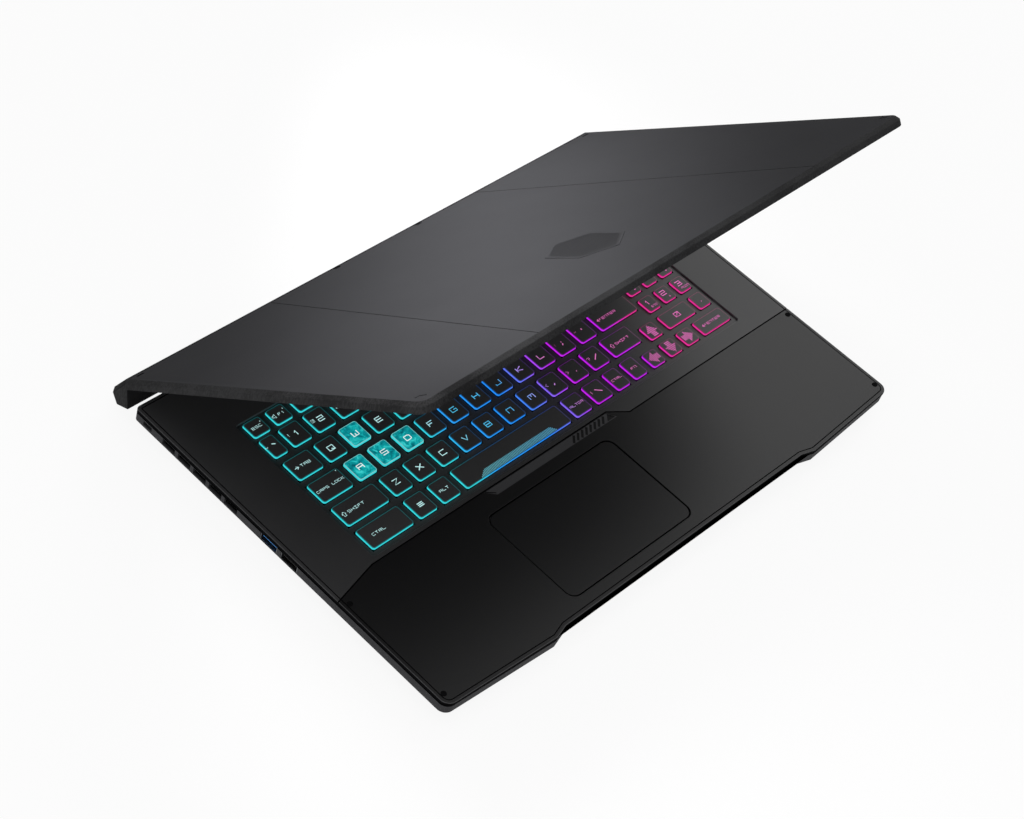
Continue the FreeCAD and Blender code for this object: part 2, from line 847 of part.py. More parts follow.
def key_boxes():
    keys = {}
    row = [key_block_front + i * row_pitch for i in range(6)]
    main = cap_width
    up_left = arrow_left + arrow_pitch
    bottom = ["control_left", "menu", "alt", "space", "alt_right", "bar", "control_right", "fn"]
    before = [control_width, main, main]
    after = [main, main, narrow_width, narrow_width]
    space = rest_of_row(before + after, arrow_left - arrow_side_gap)
    keys.update(key_row(row[0], cap_depth, bottom, before + [space] + after))
    lower = ["shift_left"] + list("zxcvbnm") + ["comma", "stop", "slash", "shift_right"]
    widths = [shift_width] + [main] * 10
    widths.append(rest_of_row(widths, up_left - arrow_side_gap))
    keys.update(key_row(row[1], cap_depth, lower, widths))
    home = ["caps_lock"] + list("asdfghjkl") + ["semicolon", "quote", "enter"]
    widths = [caps_lock_width] + [main] * 11
    widths.append(rest_of_row(widths, key_block_right))
    keys.update(key_row(row[2], cap_depth, home, widths))
    upper = ["tab"] + list("qwertyuiop") + ["bracket_left", "bracket_right", "hash"]
    widths = [tab_width] + [main] * 12
    widths.append(rest_of_row(widths, key_block_right))
    keys.update(key_row(row[3], cap_depth, upper, widths))
    number = ["grave"] + list("1234567890") + ["minus", "equals", "backspace"]
    keys.update(key_row(row[4], cap_depth, number, [grave_width] + [main] * 12 + [backspace_width]))
    function = ["escape"] + [f"f{i}" for i in range(1, 13)] + ["print", "insert", "delete"]
    keys.update(key_row(function_front, function_depth, function, [function_width] * 15 + [delete_width]))
    for i, name in enumerate(["left", "down", "right"]):
        keys[name] = (arrow_left + i * arrow_pitch, row[0], arrow_width, pad_depth)
    keys["up"] = (up_left, row[0] + pad_row_pitch, arrow_width, pad_depth)
    pad_rows = [
        [], [], ["pad_1", "pad_2", "pad_3"], ["pad_4", "pad_5", "pad_6"],
        ["pad_7", "pad_8", "pad_9"], ["pad_lock", "pad_slash", "pad_star"],
    ]
    for j, names in enumerate(pad_rows):
        for i, name in enumerate(names):
            keys[name] = (pad_left + i * pad_pitch, row[0] + j * pad_row_pitch, pad_width, pad_depth)
    wide = pad_pitch + pad_width
    keys["pad_enter"] = (pad_left + pad_pitch, row[0], wide, pad_depth)
    keys["pad_0"] = (pad_left, row[0] + pad_row_pitch, wide, pad_depth)
    keys["pad_stop"] = (pad_left + 2 * pad_pitch, row[0] + pad_row_pitch, pad_width, pad_depth)
    for i, name in enumerate(["pad_minus", "pad_plus", "power"]):
        keys[name] = (pad_left + i * pad_pitch, function_front, pad_width, function_depth)
    return keys


def key_groups(keys):
    groups = {f"key_{name}": [name] for name in single_keys}
    rows = {}
    names = ["bottom", "lower", "home", "upper", "number", "function"]
    for i, name in enumerate(names):
        rows[round(key_block_front + i * row_pitch, 3)] = f"keys_{name}_row"
    for name, (x, front, width, depth) in keys.items():
        if name in single_keys:
            continue
        on_pad = name.startswith("pad_") and front < function_front
        node = "keys_number_pad" if on_pad else rows[round(front, 3)]
        groups.setdefault(node, []).append(name)
    return groups


def key_cap(box):
    x, y, width, depth = box
    low = rounded_wire(x, x + width, y, y + depth, lip_top, key_corner)
    high = rounded_wire(x + key_draft, x + width - key_draft, y + key_draft, y + depth - key_draft,
                        key_top, key_corner)
    reach = key_slack + key_lip
    lip = block(x - reach, x + width + reach, y - reach, y + depth + reach, key_bottom, lip_top)
    hollow = block(x + key_wall, x + width - key_wall, y + key_wall, y + depth - key_wall,
                   key_bottom - over, key_top - key_roof)
    return Part.makeLoft([low, high], True, True).fuse(lip).cut(hollow)


def keyboard_frame(keys):
    reach = frame_flange
    plate = block(window_x0 - reach, window_x1 + reach, window_y0 - reach, window_y1 + reach,
                  frame_bottom, deck_underside)
    gap = part_clearance
    plate = plate.fuse(rounded_block(window_x0 + gap, window_x1 - gap, window_y0 + gap, window_y1 - gap,
                                     frame_bottom, frame_top, window_radius))
    skirt = block(window_x0 - reach, window_x1 + reach, window_y0 - reach, window_y1 + reach,
                  plate_top, frame_bottom)
    inside = reach - frame_skirt
    skirt = skirt.cut(block(window_x0 - inside, window_x1 + inside, window_y0 - inside, window_y1 + inside,
                            plate_top - over, frame_bottom + over))
    holes = []
    for x, y, width, depth in keys.values():
        holes.append(block(x - key_slack, x + width + key_slack, y - key_slack, y + depth + key_slack,
                           frame_bottom - over, frame_top + over))
    return plate.fuse(skirt).removeSplitter().cut(Part.makeCompound(holes))


def keyboard_plate(z0, z1):
    reach = frame_flange
    return block(window_x0 - reach, window_x1 + reach, window_y0 - reach, window_y1 + reach, z0, z1)


def key_domes(keys):
    domes = [post(x + width / 2, y + depth / 2, dome_radius, plate_top, dome_top)
             for x, y, width, depth in keys.values()]
    return Part.makeCompound(domes)


# Touchpad and the bracket that carries it
def touchpad():
    plate = rounded_block(touch_left, touch_right, touch_front, touch_rear,
                          touch_bottom, touch_top, touch_radius)
    pieces = []
    for x, way in pivots:
        web = sorted([x, x + way * pivot_web])
        stub = sorted([x + way * pivot_web, x + way * (pivot_web + pivot_length)])
        pieces.append(block(web[0], web[1], pivot_y - pivot_radius, pivot_y + pivot_radius,
                            pivot_z - pivot_radius, touch_bottom + weld))
        pieces.append(rod_along_x(pivot_y, pivot_z, pivot_radius, stub[0], stub[1]))
    return plate.fuse(pieces).removeSplitter()


def touchpad_bracket():
    x0 = touch_left - touch_gap - rail_gap - rail_width
    x1 = touch_right + touch_gap + rail_gap + rail_width
    y1 = touch_rear + touch_gap + rail_gap
    plate = block(x0, x1, touch_front, y1, bracket_top - bracket_thickness, bracket_top)
    fall = math.radians(touch_tilt) * (touch_rear - touch_front)
    pieces = [
        block(x0, x0 + rail_width, touch_front, y1, bracket_top, deck_underside),
        block(x1 - rail_width, x1, touch_front, y1, bracket_top, deck_underside),
        post((touch_left + touch_right) / 2, touch_front + switch_setback, switch_radius,
             bracket_top - weld, touch_bottom - fall - run_clearance),
    ]
    outer = pivot_radius + run_clearance + eye_wall
    bores = []
    for x, way in pivots:
        eye = sorted([x + way * (pivot_web + part_clearance), x + way * (pivot_web + pivot_length)])
        pieces.append(block(eye[0], eye[1], pivot_y - outer, pivot_y + outer, bracket_top - weld,
                            touch_bottom - part_clearance))
        bores.append(rod_along_x(pivot_y, pivot_z, pivot_radius + run_clearance,
                                 eye[0] - over, eye[1] + over))
    return plate.fuse(pieces).removeSplitter().cut(bores)


# Boards and what sits on them
def motherboard():
    strip_x = half_width - lan_set_in - lan_depth - over
    strip_rear = base_depth - board_strip_setback
    edge_x = inner_wall_x(board_bottom) - part_clearance
    socket_y = lan_y - lan_width / 2 - over
    fan_right = fan_right_x + fan_half + board_gap
    fan_left = fan_right_x - fan_half - board_gap
    points = [
        (board_left, board_front), (edge_x, board_front), (edge_x, socket_y), (strip_x, socket_y),
        (strip_x, strip_rear), (fan_right, strip_rear), (fan_right, fan_front_y - board_gap),
        (fan_left, fan_front_y - board_gap), (fan_left, board_rear), (board_left, board_rear),
    ]
    return prism(points, board_bottom, board_top)


def left_board():
    return block(part_clearance - inner_wall_x(board_bottom), left_board_right,
                 left_board_front, left_board_rear, board_bottom, board_top)


def chip(x, width, depth):
    return block(x - width / 2, x + width / 2, chip_y - depth / 2, chip_y + depth / 2,
                 chip_bottom, board_bottom)


def processors():
    main = chip(processor_x, processor_width, processor_depth)
    return Part.makeCompound([main, chip(graphics_x, graphics_width, graphics_depth)])


def heat_spreader():
    half_depth = processor_depth / 2 + spreader_margin
    return rounded_block(processor_x - processor_width / 2 - spreader_margin,
                         graphics_x + graphics_width / 2 + spreader_margin,
                         chip_y - half_depth, chip_y + half_depth,
                         spreader_bottom, chip_bottom, spreader_corner)


def heat_pipes():
    left_x = fan_left_x + fan_half + pipe_fan_gap + pipe_width
    right_x = fan_right_x - fan_half - pipe_fan_gap - pipe_width / 2
    left_y = chip_y + pipe_chip_spread
    right_y = chip_y - pipe_chip_spread
    left = [
        (graphics_x - pipe_chip_reach, left_y), (left_x + pipe_bend, left_y),
        (left_x, fin_middle_y), (fin_spans[0][0], fin_middle_y),
    ]
    right = [
        (processor_x + pipe_chip_reach, right_y), (right_x - pipe_bend, right_y),
        (right_x, fin_middle_y), (fin_spans[1][1], fin_middle_y),
    ]
    pipes = [ribbon(run, pipe_width, pipe_bottom, spreader_bottom) for run in (left, right)]
    return Part.makeCompound(pipes)


# Outline of a fin stack seen from its open end
def comb(length, height, z0):
    count = int((length - fin_thickness) / fin_pitch)
    points = [(0.0, z0)]
    step = (length - fin_thickness) / count
    for i in range(count + 1):
        x = i * step
        points += [(x, z0 + height), (x + fin_thickness, z0 + height)]
        if i < count:
            points += [(x + fin_thickness, z0 + fin_base), (x + step, z0 + fin_base)]
    points.append((length, z0))
    return points


def fin_stacks():
    stacks = []
    for x0, x1 in fin_spans:
        profile = [(x0 + x, z) for x, z in comb(x1 - x0, fin_height, spreader_bottom)]
        stacks.append(prism_along_y(profile, fin_rear_y - fin_depth, fin_rear_y))
    x0 = part_clearance - inner_wall_x(spreader_bottom)
    x1 = fan_left_x - fan_half - part_clearance
    side = comb(vent_rear_y - vent_front_y, fin_height, spreader_bottom)
    profile = [(vent_front_y + y, z) for y, z in side]
    stacks.append(prism_along_x(profile, x0, x1))
    return Part.makeCompound(stacks)


def fan_housing(x):
    swept = fan_half - fan_wall
    low = floor_inside + fan_plate
    high = fan_top - fan_plate
    case = rounded_block(x - fan_half, x + fan_half, fan_front_y, fan_y + fan_half,
                         floor_inside, fan_top, fan_corner)
    cuts = [
        post(x, fan_y, swept, low, high),
        block(x - swept, x + swept, fan_y, fan_y + fan_half + over, low, high),
        post(x, fan_y, fan_inlet_radius, high - over, fan_top + over),
    ]
    reach = (fan_inlet_radius + fan_hub_radius) / 2
    for i in range(fan_hole_count):
        turn = 2 * math.pi * i / fan_hole_count
        cuts.append(post(x + reach * math.cos(turn), fan_y + reach * math.sin(turn), fan_hole_radius,
                         floor_inside - over, low + over))
    shaft = post(x, fan_y, fan_shaft_radius, floor_inside, high - fan_end_gap)
    return case.cut(cuts).fuse(shaft).removeSplitter()


def fan_rotor(x):
    low = floor_inside + fan_plate + fan_end_gap
    high = fan_top - fan_plate - fan_end_gap
    tip = fan_half - fan_wall - fan_tip_gap
    half_blade = fan_blade_thickness / 2
    hub = post(0, 0, fan_hub_radius, low, high)
    blades = []
    for i in range(fan_blades):
        blade = block(fan_hub_radius - over, tip, -half_blade, half_blade, low, high)
        blade.rotate(point(fan_hub_radius, 0), point(0, 0, 1), -fan_blade_sweep)
        blade.rotate(point(0, 0), point(0, 0, 1), 360.0 * i / fan_blades)
        blades.append(blade)
    rotor = hub.fuse(blades).removeSplitter()
    rotor = rotor.cut(post(0, 0, fan_shaft_radius + run_clearance, low - over, high + over))
    rotor.translate(point(x, fan_y))
    return rotor


# A module that hangs flat below the main board
def board_module(x, y, length, depth, height):
    return block(x, x + length, y, y + depth, board_bottom - height, board_bottom)


def memory_modules():
    modules = []
    for left in (memory_left, memory_right - memory_length):
        modules.append(board_module(left, memory_front, memory_length, memory_depth, memory_height))
    return Part.makeCompound(modules)


def ssd_module():
    return board_module(memory_left, ssd_front, ssd_length, ssd_depth, ssd_height)


def wireless_card():
    return board_module(wireless_x, wireless_front, wireless_length, wireless_depth, wireless_height)


def battery_tray():
    wall = battery_tray_wall
    outer = block(-battery_half_width, battery_half_width, battery_front, battery_rear,
                  floor_inside, floor_inside + battery_tray_height)
    room = block(wall - battery_half_width, battery_half_width - wall,
                 battery_front + wall, battery_rear - wall,
                 floor_inside + wall, floor_inside + battery_tray_height + over)
    return outer.cut(room)


def battery_cells():
    wall = battery_tray_wall + part_clearance
    x0 = wall - battery_half_width
    width = (2 * (battery_half_width - wall) - (cell_count - 1) * cell_gap) / cell_count
    cells = []
    for i in range(cell_count):
        x = x0 + i * (width + cell_gap)
        cells.append(rounded_block(x, x + width, battery_front + wall, battery_rear - wall,
                                   floor_inside + battery_tray_wall, battery_top, cell_corner))
    return Part.makeCompound(cells)


def speakers():
    box = rounded_block(speaker_left, speaker_right, speaker_front, speaker_front + speaker_depth,
                        floor_inside, floor_inside + speaker_height, speaker_corner)
    return Part.makeCompound([box, mirrored(box)])


# Hinges
def hinge_knuckles():
    arm = [
        (base_depth - tongue_length, deck_underside),
        (base_depth - tongue_length, deck_underside - tongue_thickness),
        (inner_rear - arm_wall_gap, deck_underside - tongue_thickness),
        (inner_rear - arm_wall_gap, hinge_z - arm_rise),
        (hinge_y, hinge_z - arm_rise), (hinge_y, hinge_z + arm_rise), (inner_rear, hinge_z + arm_rise),
        (inner_rear, deck_underside),
    ]
    sides = []
    for side in (-1, 1):
        x0 = side * knuckle_x - knuckle_half
        x1 = side * knuckle_x + knuckle_half
        barrel = rod_along_x(hinge_y, hinge_z, knuckle_radius, x0, x1)
        knuckle = prism_along_x(arm, x0, x1).fuse(barrel).removeSplitter()
        sides.append(knuckle.cut(rod_along_x(hinge_y, hinge_z, pin_radius + run_clearance,
                                             x0 - over, x1 + over)))
    return Part.makeCompound(sides)


def hinge_pins():
    pins = []
    for side in (-1, 1):
        x = side * knuckle_x
        reach = slot_half + pin_grip
        pins.append(rod_along_x(hinge_y, hinge_z, pin_radius, x - reach, x + reach))
    return Part.makeCompound(pins)


def lid_hinge_arms():
    ear = [
        (cavity_rear - leaf_depth, leaf_low), (cavity_rear - leaf_depth, leaf_top), (spine_start, leaf_top),
        (hinge_y + ear_shoulder, hinge_z + ear_radius - ear_trim),
        (hinge_y - ear_radius + ear_trim, hinge_z + ear_shoulder), (cavity_rear + ear_trim, leaf_low),
    ]
    arms = []
    for side in (-1, 1):
        x = side * knuckle_x
        leaf = block(x - leaf_half, x + leaf_half, cavity_rear - leaf_depth, cavity_rear - fixed_gap,
                     leaf_low, leaf_top)
        pieces = []
        for way in (-1, 1):
            span = sorted([x + way * (knuckle_half + ear_gap), x + way * ear_reach])
            pieces.append(prism_along_x(ear, span[0], span[1]))
            pieces.append(rod_along_x(hinge_y, hinge_z, ear_radius, span[0], span[1]))
        arm = leaf.fuse(pieces).removeSplitter()
        hole = rod_along_x(hinge_y, hinge_z, pin_radius + fixed_gap, x - slot_half, x + slot_half)
        arms.append(arm.cut(hole))
    return Part.makeCompound(arms)


# Lid, drawn closed
def lid_cover():
    shoulder_y = hinge_y + spine_rear - spine_lean
    heel_y = hinge_y + spine_rear
    edge_z = lid_top - lid_edge_rise
    below = spine_toe_z - over
    profile = [
        (lid_front, lid_low), (lid_front, edge_z), (lid_front + lid_edge_run, lid_top),
        (spine_start, lid_top), (shoulder_y, spine_shoulder_z), (heel_y, spine_heel_z),
        (hinge_y - spine_toe_run, spine_toe_z), (spine_front, lid_low),
    ]
    side = [
        (-half_width, below), (-half_width, edge_z), (lid_edge_run - half_width, lid_top),
        (half_width - lid_edge_run, lid_top), (half_width, edge_z), (half_width, below),
    ]
    past_rear = heel_y + lid_corner_radius + over
    plan = rounded_block(-half_width, half_width, lid_front, past_rear,
                         below, lid_top + over, lid_corner_radius)
    cover = prism_along_x(profile, -half_width, half_width).common(plan)
    cover = cover.common(prism_along_y(side, lid_front - over, past_rear))
    cuts = [
        block(lid_rim - half_width, half_width - lid_rim, lid_front + lid_rim, cavity_rear,
              lid_low - over, lid_inside),
    ]
    slope = (lid_top - spine_shoulder_z) / (shoulder_y - spine_start)
    slot_rear = heel_y + over
    slot = [
        (cavity_rear - over, leaf_top), (spine_start, leaf_top),
        (slot_rear, leaf_top - slope * (slot_rear - spine_start)), (slot_rear, below),
        (cavity_rear - over, below),
    ]
    pads = []
    for way in (-1, 1):
        x = way * knuckle_x
        pin_half = slot_half + pin_grip + fixed_gap
        cuts.append(prism_along_x(slot, x - slot_half, x + slot_half))
        cuts.append(rod_along_x(hinge_y, hinge_z, pin_radius + fixed_gap, x - pin_half, x + pin_half))
        crease = [(way * crease_rear_x, spine_start), (way * crease_front_x, lid_front - over)]
        cuts.append(ribbon(crease, crease_width, lid_top - crease_depth, lid_top + over))
        pads.append(block(x - leaf_half, x + leaf_half, cavity_rear - leaf_depth, cavity_rear,
                          leaf_top, lid_inside))
    return cover.cut(cuts).fuse(pads).removeSplitter()


def screen_bezel():
    gap = lid_rim + part_clearance
    frame = block(gap - half_width, half_width - gap, lid_front + gap, cavity_rear - part_clearance,
                  lid_low, panel_low)
    window = block(bezel_side - half_width, half_width - bezel_side, glass_y0, glass_y1,
                   lid_low - over, lid_inside)
    eye = post(0, camera_y, camera_lens_radius + part_clearance, lid_low - over, lid_inside)
    return frame.cut([window, eye])


def lcd_panel():
    half = half_width - bezel_side + panel_overlap
    return block(-half, half, glass_y0 - panel_overlap, glass_y1 + panel_overlap, panel_low, panel_high)


def webcam_module():
    body = block(-camera_width / 2, camera_width / 2,
                 camera_y - camera_depth / 2, camera_y + camera_depth / 2, panel_low, panel_high)
    lens = post(0, camera_y, camera_lens_radius, lid_low + camera_lens_recess, panel_low)
    return body.fuse(lens).removeSplitter()


def opened(shape):
    shape.rotate(point(0, hinge_y, hinge_z), point(1, 0), -lid_angle)
    return shape


keys = key_boxes()
nodes = {
    "bottom_cover": bottom_cover(),
    "bottom_screws": bottom_screws(),
    "rubber_feet": rubber_feet(),
    "top_case": top_case(),
    "palm_bumpers": palm_bumpers(),
    "keyboard_frame": keyboard_frame(keys),
    "keyboard_backplate": keyboard_plate(light_top, plate_top),
    "backlight_sheet": keyboard_plate(keyboard_bottom, light_top),
    "key_domes": key_domes(keys),
    "touchpad": touchpad(),
    "touchpad_bracket": touchpad_bracket(),
    "motherboard": motherboard(),
    "left_board": left_board(),
    "processors": processors(),
    "heat_spreader": heat_spreader(),
    "heat_pipes": heat_pipes(),
    "fin_stacks": fin_stacks(),
    "fan_housing_left": fan_housing(fan_left_x),
    "fan_housing_right": fan_housing(fan_right_x),
    "fan_rotor_left": fan_rotor(fan_left_x),
    "fan_rotor_right": fan_rotor(fan_right_x),
    "memory_modules": memory_modules(),
    "ssd_module": ssd_module(),
    "wireless_card": wireless_card(),
    "battery_tray": battery_tray(),
    "battery_cells": battery_cells(),
    "speakers": speakers(),
    "usb_ports": usb_ports(),
    "usb_c_port": usb_c_port(),
    "hdmi_port": hdmi_port(),
    "lan_port": lan_port(),
    "audio_jack": audio_jack(),
    "power_inlet": power_inlet(),
    "lock_plate": lock_plate(),
    "hinge_knuckles": hinge_knuckles(),
    "hinge_pins": opened(hinge_pins()),
    "lid_hinge_arms": opened(lid_hinge_arms()),
    "lid_cover": opened(lid_cover()),
    "screen_bezel": opened(screen_bezel()),
    "lcd_panel": opened(lcd_panel()),
    "webcam_module": opened(webcam_module()),
}
for node, names in key_groups(keys).items():
    nodes[node] = Part.makeCompound([key_cap(keys[name]) for name in names])

os.makedirs("parts", exist_ok=True)
for node, shape in nodes.items():
    shape.translate(point(0, -closed_middle_y, deck_height))
    shape.exportStep(f"parts/{node}.step")
print(len(nodes), "nodes,", sum(len(shape.Solids) for shape in nodes.values()), "solids")
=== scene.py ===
import json
import math

import bpy
from mathutils import Matrix, Quaternion, Vector


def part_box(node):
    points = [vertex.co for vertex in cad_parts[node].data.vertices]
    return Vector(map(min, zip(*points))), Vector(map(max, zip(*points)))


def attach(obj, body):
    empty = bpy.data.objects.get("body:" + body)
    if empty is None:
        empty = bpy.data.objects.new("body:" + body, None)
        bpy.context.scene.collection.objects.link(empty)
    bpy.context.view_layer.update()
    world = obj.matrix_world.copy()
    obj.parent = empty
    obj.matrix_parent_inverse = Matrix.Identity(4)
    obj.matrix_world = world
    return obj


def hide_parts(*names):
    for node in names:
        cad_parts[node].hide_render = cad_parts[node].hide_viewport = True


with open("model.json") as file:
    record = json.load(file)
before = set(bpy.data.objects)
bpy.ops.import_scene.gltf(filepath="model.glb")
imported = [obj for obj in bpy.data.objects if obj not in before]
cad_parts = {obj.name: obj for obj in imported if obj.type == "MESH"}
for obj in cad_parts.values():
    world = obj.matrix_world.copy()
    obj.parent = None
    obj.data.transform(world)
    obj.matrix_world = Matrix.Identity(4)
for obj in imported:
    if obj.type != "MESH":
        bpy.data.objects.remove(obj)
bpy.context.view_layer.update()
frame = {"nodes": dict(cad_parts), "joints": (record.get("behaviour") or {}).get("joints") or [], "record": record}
nodes = frame["nodes"]
mm = 0.001
weld = 1e-6  # corners closer than this, in metres, are one corner
over = 1.0  # in mm, how far a cutter reaches past what it cuts
upward = 0.9  # a face whose normal has more z than this looks up
level = 0.99  # and with more than this it lies flat
cornerSteps = 8  # segments in a large rounded corner

# Where the deck is: its top, and the line through its front corners
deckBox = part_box("top_case")
bulge = 4.5 * mm  # the deck's front bows out by this much past its corners
deckTop = deckBox[1].z
deckFront = deckBox[0].y + bulge
halfWidth = deckBox[1].x
lidHinge = next(j for j in frame["joints"] if j["name"] == "lid_hinge")
hinge = Vector(lidHinge["pos_m"])
lidAngle = math.radians(lidHinge["range_deg"][0])  # the turn about X from closed to rest
print("frame loaded:", len(nodes), "nodes")


def onDeck(x, y, z=0.0):
    return Vector((x * mm, deckFront + y * mm, deckTop + z * mm))


# Modelling helpers, the moves of a hand at the mouse
def activate(piece):
    bpy.ops.object.select_all(action="DESELECT")
    piece.select_set(True)
    bpy.context.view_layer.objects.active = piece


def added():
    piece = bpy.context.object
    activate(piece)
    return piece


def linked(name, data):
    piece = bpy.data.objects.new(name, data)
    bpy.context.collection.objects.link(piece)
    return piece


def pick(piece, faces=None, edges=None):
    # Selects faces or edges by a test on their place and goes into edit mode
    activate(piece)
    mesh = piece.data
    for group in (mesh.vertices, mesh.edges, mesh.polygons):
        group.foreach_set("select", [False] * len(group))
    for f in mesh.polygons if faces else ():
        f.select = bool(faces(f.center, f.normal))
    for e in mesh.edges if edges else ():
        a, b = (mesh.vertices[i].co for i in e.vertices)
        e.select = bool(edges(a, b))
    bpy.context.tool_settings.mesh_select_mode = (False, not faces, bool(faces))
    bpy.ops.object.mode_set(mode="EDIT")


def editAll(piece):
    activate(piece)
    bpy.ops.object.mode_set(mode="EDIT")
    bpy.ops.mesh.select_all(action="SELECT")


def done():
    bpy.ops.object.mode_set(mode="OBJECT")


def near(a, b, reach=1e-5):
    return abs(a - b) < reach


def atHeight(z):
    # A test for edges that lie at one height
    return lambda a, b: near(a.z, z) and near(b.z, z)


def cornersAt(x, y):
    # A test for the upright edges at y that stand x to the left and to the right of the middle
    return lambda a, b: near(a.x, b.x) and near(abs(a.x), x) and near(a.y, y) and near(b.y, y)


def bevelled(piece, edges, width, segments=2, clamp=True):
    # Rounds the edges that pass a test, by a width in mm, or breaks them with one segment
    pick(piece, edges=edges)
    bpy.ops.mesh.bevel(offset=width * mm, segments=segments, clamp_overlap=clamp)
    done()


def softenSharp(piece, width, sharpness=25):
    editAll(piece)
    bpy.ops.mesh.select_mode(type="EDGE")
    bpy.ops.mesh.select_all(action="DESELECT")
    bpy.ops.mesh.edges_select_sharp(sharpness=math.radians(sharpness))
    bpy.ops.mesh.bevel(offset=width * mm, segments=2, clamp_overlap=True)
    done()


def insetTop(piece, steps):
    # Draws the flat top in, step by step: how far in and how far up, in mm
    pick(piece, faces=lambda c, n: n.z > level)
    for thickness, rise in steps:
        bpy.ops.mesh.inset(thickness=thickness * mm, depth=rise * mm)
    done()


def block(low, high):
    bpy.ops.mesh.primitive_cube_add(size=1, location=(Vector(low) + Vector(high)) / 2)
    piece = added()
    piece.scale = Vector(high) - Vector(low)
    bpy.ops.object.transform_apply()
    return piece


def roundedBlock(low, high, radius, segments=6):
    # A block whose four upright edges are rounded
    piece = block(low, high)
    bevelled(piece, lambda a, b: near(a.x, b.x) and near(a.y, b.y), radius, segments, clamp=False)
    return piece


def drum(sides, radius, height, place, stretch=(1, 1, 1)):
    bpy.ops.mesh.primitive_cylinder_add(vertices=sides, radius=radius, depth=height, location=place)
    piece = added()
    piece.scale = stretch
    bpy.ops.object.transform_apply()
    return piece


def prism(outline, reach):
    # A ring of as many points as the outline has, dragged to it, filled and pulled along reach
    bpy.ops.mesh.primitive_circle_add(vertices=len(outline), radius=mm, fill_type="NGON")
    piece = added()
    for vertex, place in zip(piece.data.vertices, outline):
        vertex.co = place
    editAll(piece)
    bpy.ops.mesh.extrude_region_move(TRANSFORM_OT_translate={"value": reach})
    bpy.ops.mesh.select_all(action="SELECT")
    bpy.ops.mesh.normals_make_consistent()
    done()
    return piece


def lineRing(a, b, width):
    a, b = Vector(a), Vector(b)
    side = (b - a).orthogonal().normalized() * width / 2
    return [a - side, a + side, b + side, b - side]


def engravers(marks, surface=0.0, ways=(1,)):
    # Cutters for marks given as points, the width of a line or none for an area, and depth, all in mm
    cutters = []
    for way, (points, width, depth) in [(way, mark) for way in ways for mark in marks]:
        points = [(way * x, y) for x, y in points]
        rings = [lineRing(a, b, width) for a, b in zip(points, points[1:])] if width else [points]
        for ring in rings:
            floor = [onDeck(x, y, surface - depth) for x, y in ring]
            cutters.append(prism(floor, (0, 0, (depth + over) * mm)))
    return cutters


def cut(piece, cutters):
    for cutter in cutters:
        modifier = piece.modifiers.new("cut", "BOOLEAN")
        modifier.solver = "EXACT"
        modifier.object = cutter
        activate(piece)
        bpy.ops.object.modifier_apply(modifier="cut")
        bpy.data.objects.remove(cutter)


def joined(pieces):
    activate(pieces[0])
    for piece in pieces[1:]:
        piece.select_set(True)
    if len(pieces) > 1:
        bpy.ops.object.join()
    return added()


def copyOf(piece):
    twin = piece.copy()
    twin.data = piece.data.copy()
    bpy.context.collection.objects.link(twin)
    return twin


def smooth(piece, angle=30):
    activate(piece)
    bpy.ops.object.shade_smooth_by_angle(angle=math.radians(angle))
    # Large flat faces keep their own normal and the rounded edges beside them take up the turn
    modifier = piece.modifiers.new("weighted", "WEIGHTED_NORMAL")
    modifier.keep_sharp = True
    bpy.ops.object.modifier_apply(modifier="weighted")


def swung(piece, angle):
    # Lid pieces are modelled closed and then swung open about the hinge
    piece.matrix_world = (Matrix.Translation(hinge) @ Matrix.Rotation(angle, 4, "X")
                          @ Matrix.Translation(-hinge) @ piece.matrix_world)
    activate(piece)
    bpy.ops.object.transform_apply()
    return piece


def cornersOf(piece):
    axes = list(zip(*[v.co for v in piece.data.vertices]))
    return Vector(map(min, axes)), Vector(map(max, axes))


def welded(name):
    # A CAD node's own mesh, copied, with its doubled corners merged, left in edit mode
    twin = copyOf(nodes[name])
    twin.parent = None
    editAll(twin)
    bpy.ops.mesh.remove_doubles(threshold=weld)
    return twin


def merged(name, flat=0.5):
    # The same with its flat faces made whole
    twin = welded(name)
    bpy.ops.mesh.dissolve_limited(angle_limit=math.radians(flat))
    done()
    return twin


def solidsOf(name):
    # Corner pairs of a CAD node's separate solids, front row first and left to right
    welded(name)
    bpy.ops.mesh.separate(type="LOOSE")
    done()
    boxes = []
    for solid in list(bpy.context.selected_objects):
        boxes.append(cornersOf(solid))
        bpy.data.objects.remove(solid)
    return sorted(boxes, key=lambda box: (round(box[0].y / mm), box[0].x))


def settle(piece, name, body, materials, replaces=()):
    piece.name = name
    piece.data.name = name
    if materials:
        kept = [f.material_index for f in piece.data.polygons]
        piece.data.materials.clear()
        for material in materials:
            piece.data.materials.append(material)
        piece.data.polygons.foreach_set("material_index", kept)
    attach(piece, body)
    if replaces:
        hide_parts(*replaces)
    return piece


# Material helpers
def linear(hexColour):
    channels = [int(hexColour[i:i + 2], 16) / 255 for i in (1, 3, 5)]
    return [c / 12.92 if c <= 0.04045 else ((c + 0.055) / 1.055) ** 2.4 for c in channels] + [1.0]


def node(tree, kind, links=None, values=None, stops=(), **settings):
    # Adds a node, or takes one that is there. A source that is a node gives its first output.
    made = tree.nodes.new("ShaderNode" + kind) if isinstance(kind, str) else kind
    for name, value in settings.items():
        setattr(made, name, value)
    for name, value in (values or {}).items():
        made.inputs[name].default_value = value
    for name, source in (links or {}).items():
        tree.links.new(source.outputs[0] if hasattr(source, "outputs") else source, made.inputs[name])
    for i, (place, colour) in enumerate(stops):
        points = made.color_ramp.elements
        point = points[i] if i < len(points) else points.new(place)
        point.position = place
        point.color = linear(colour)
    return made


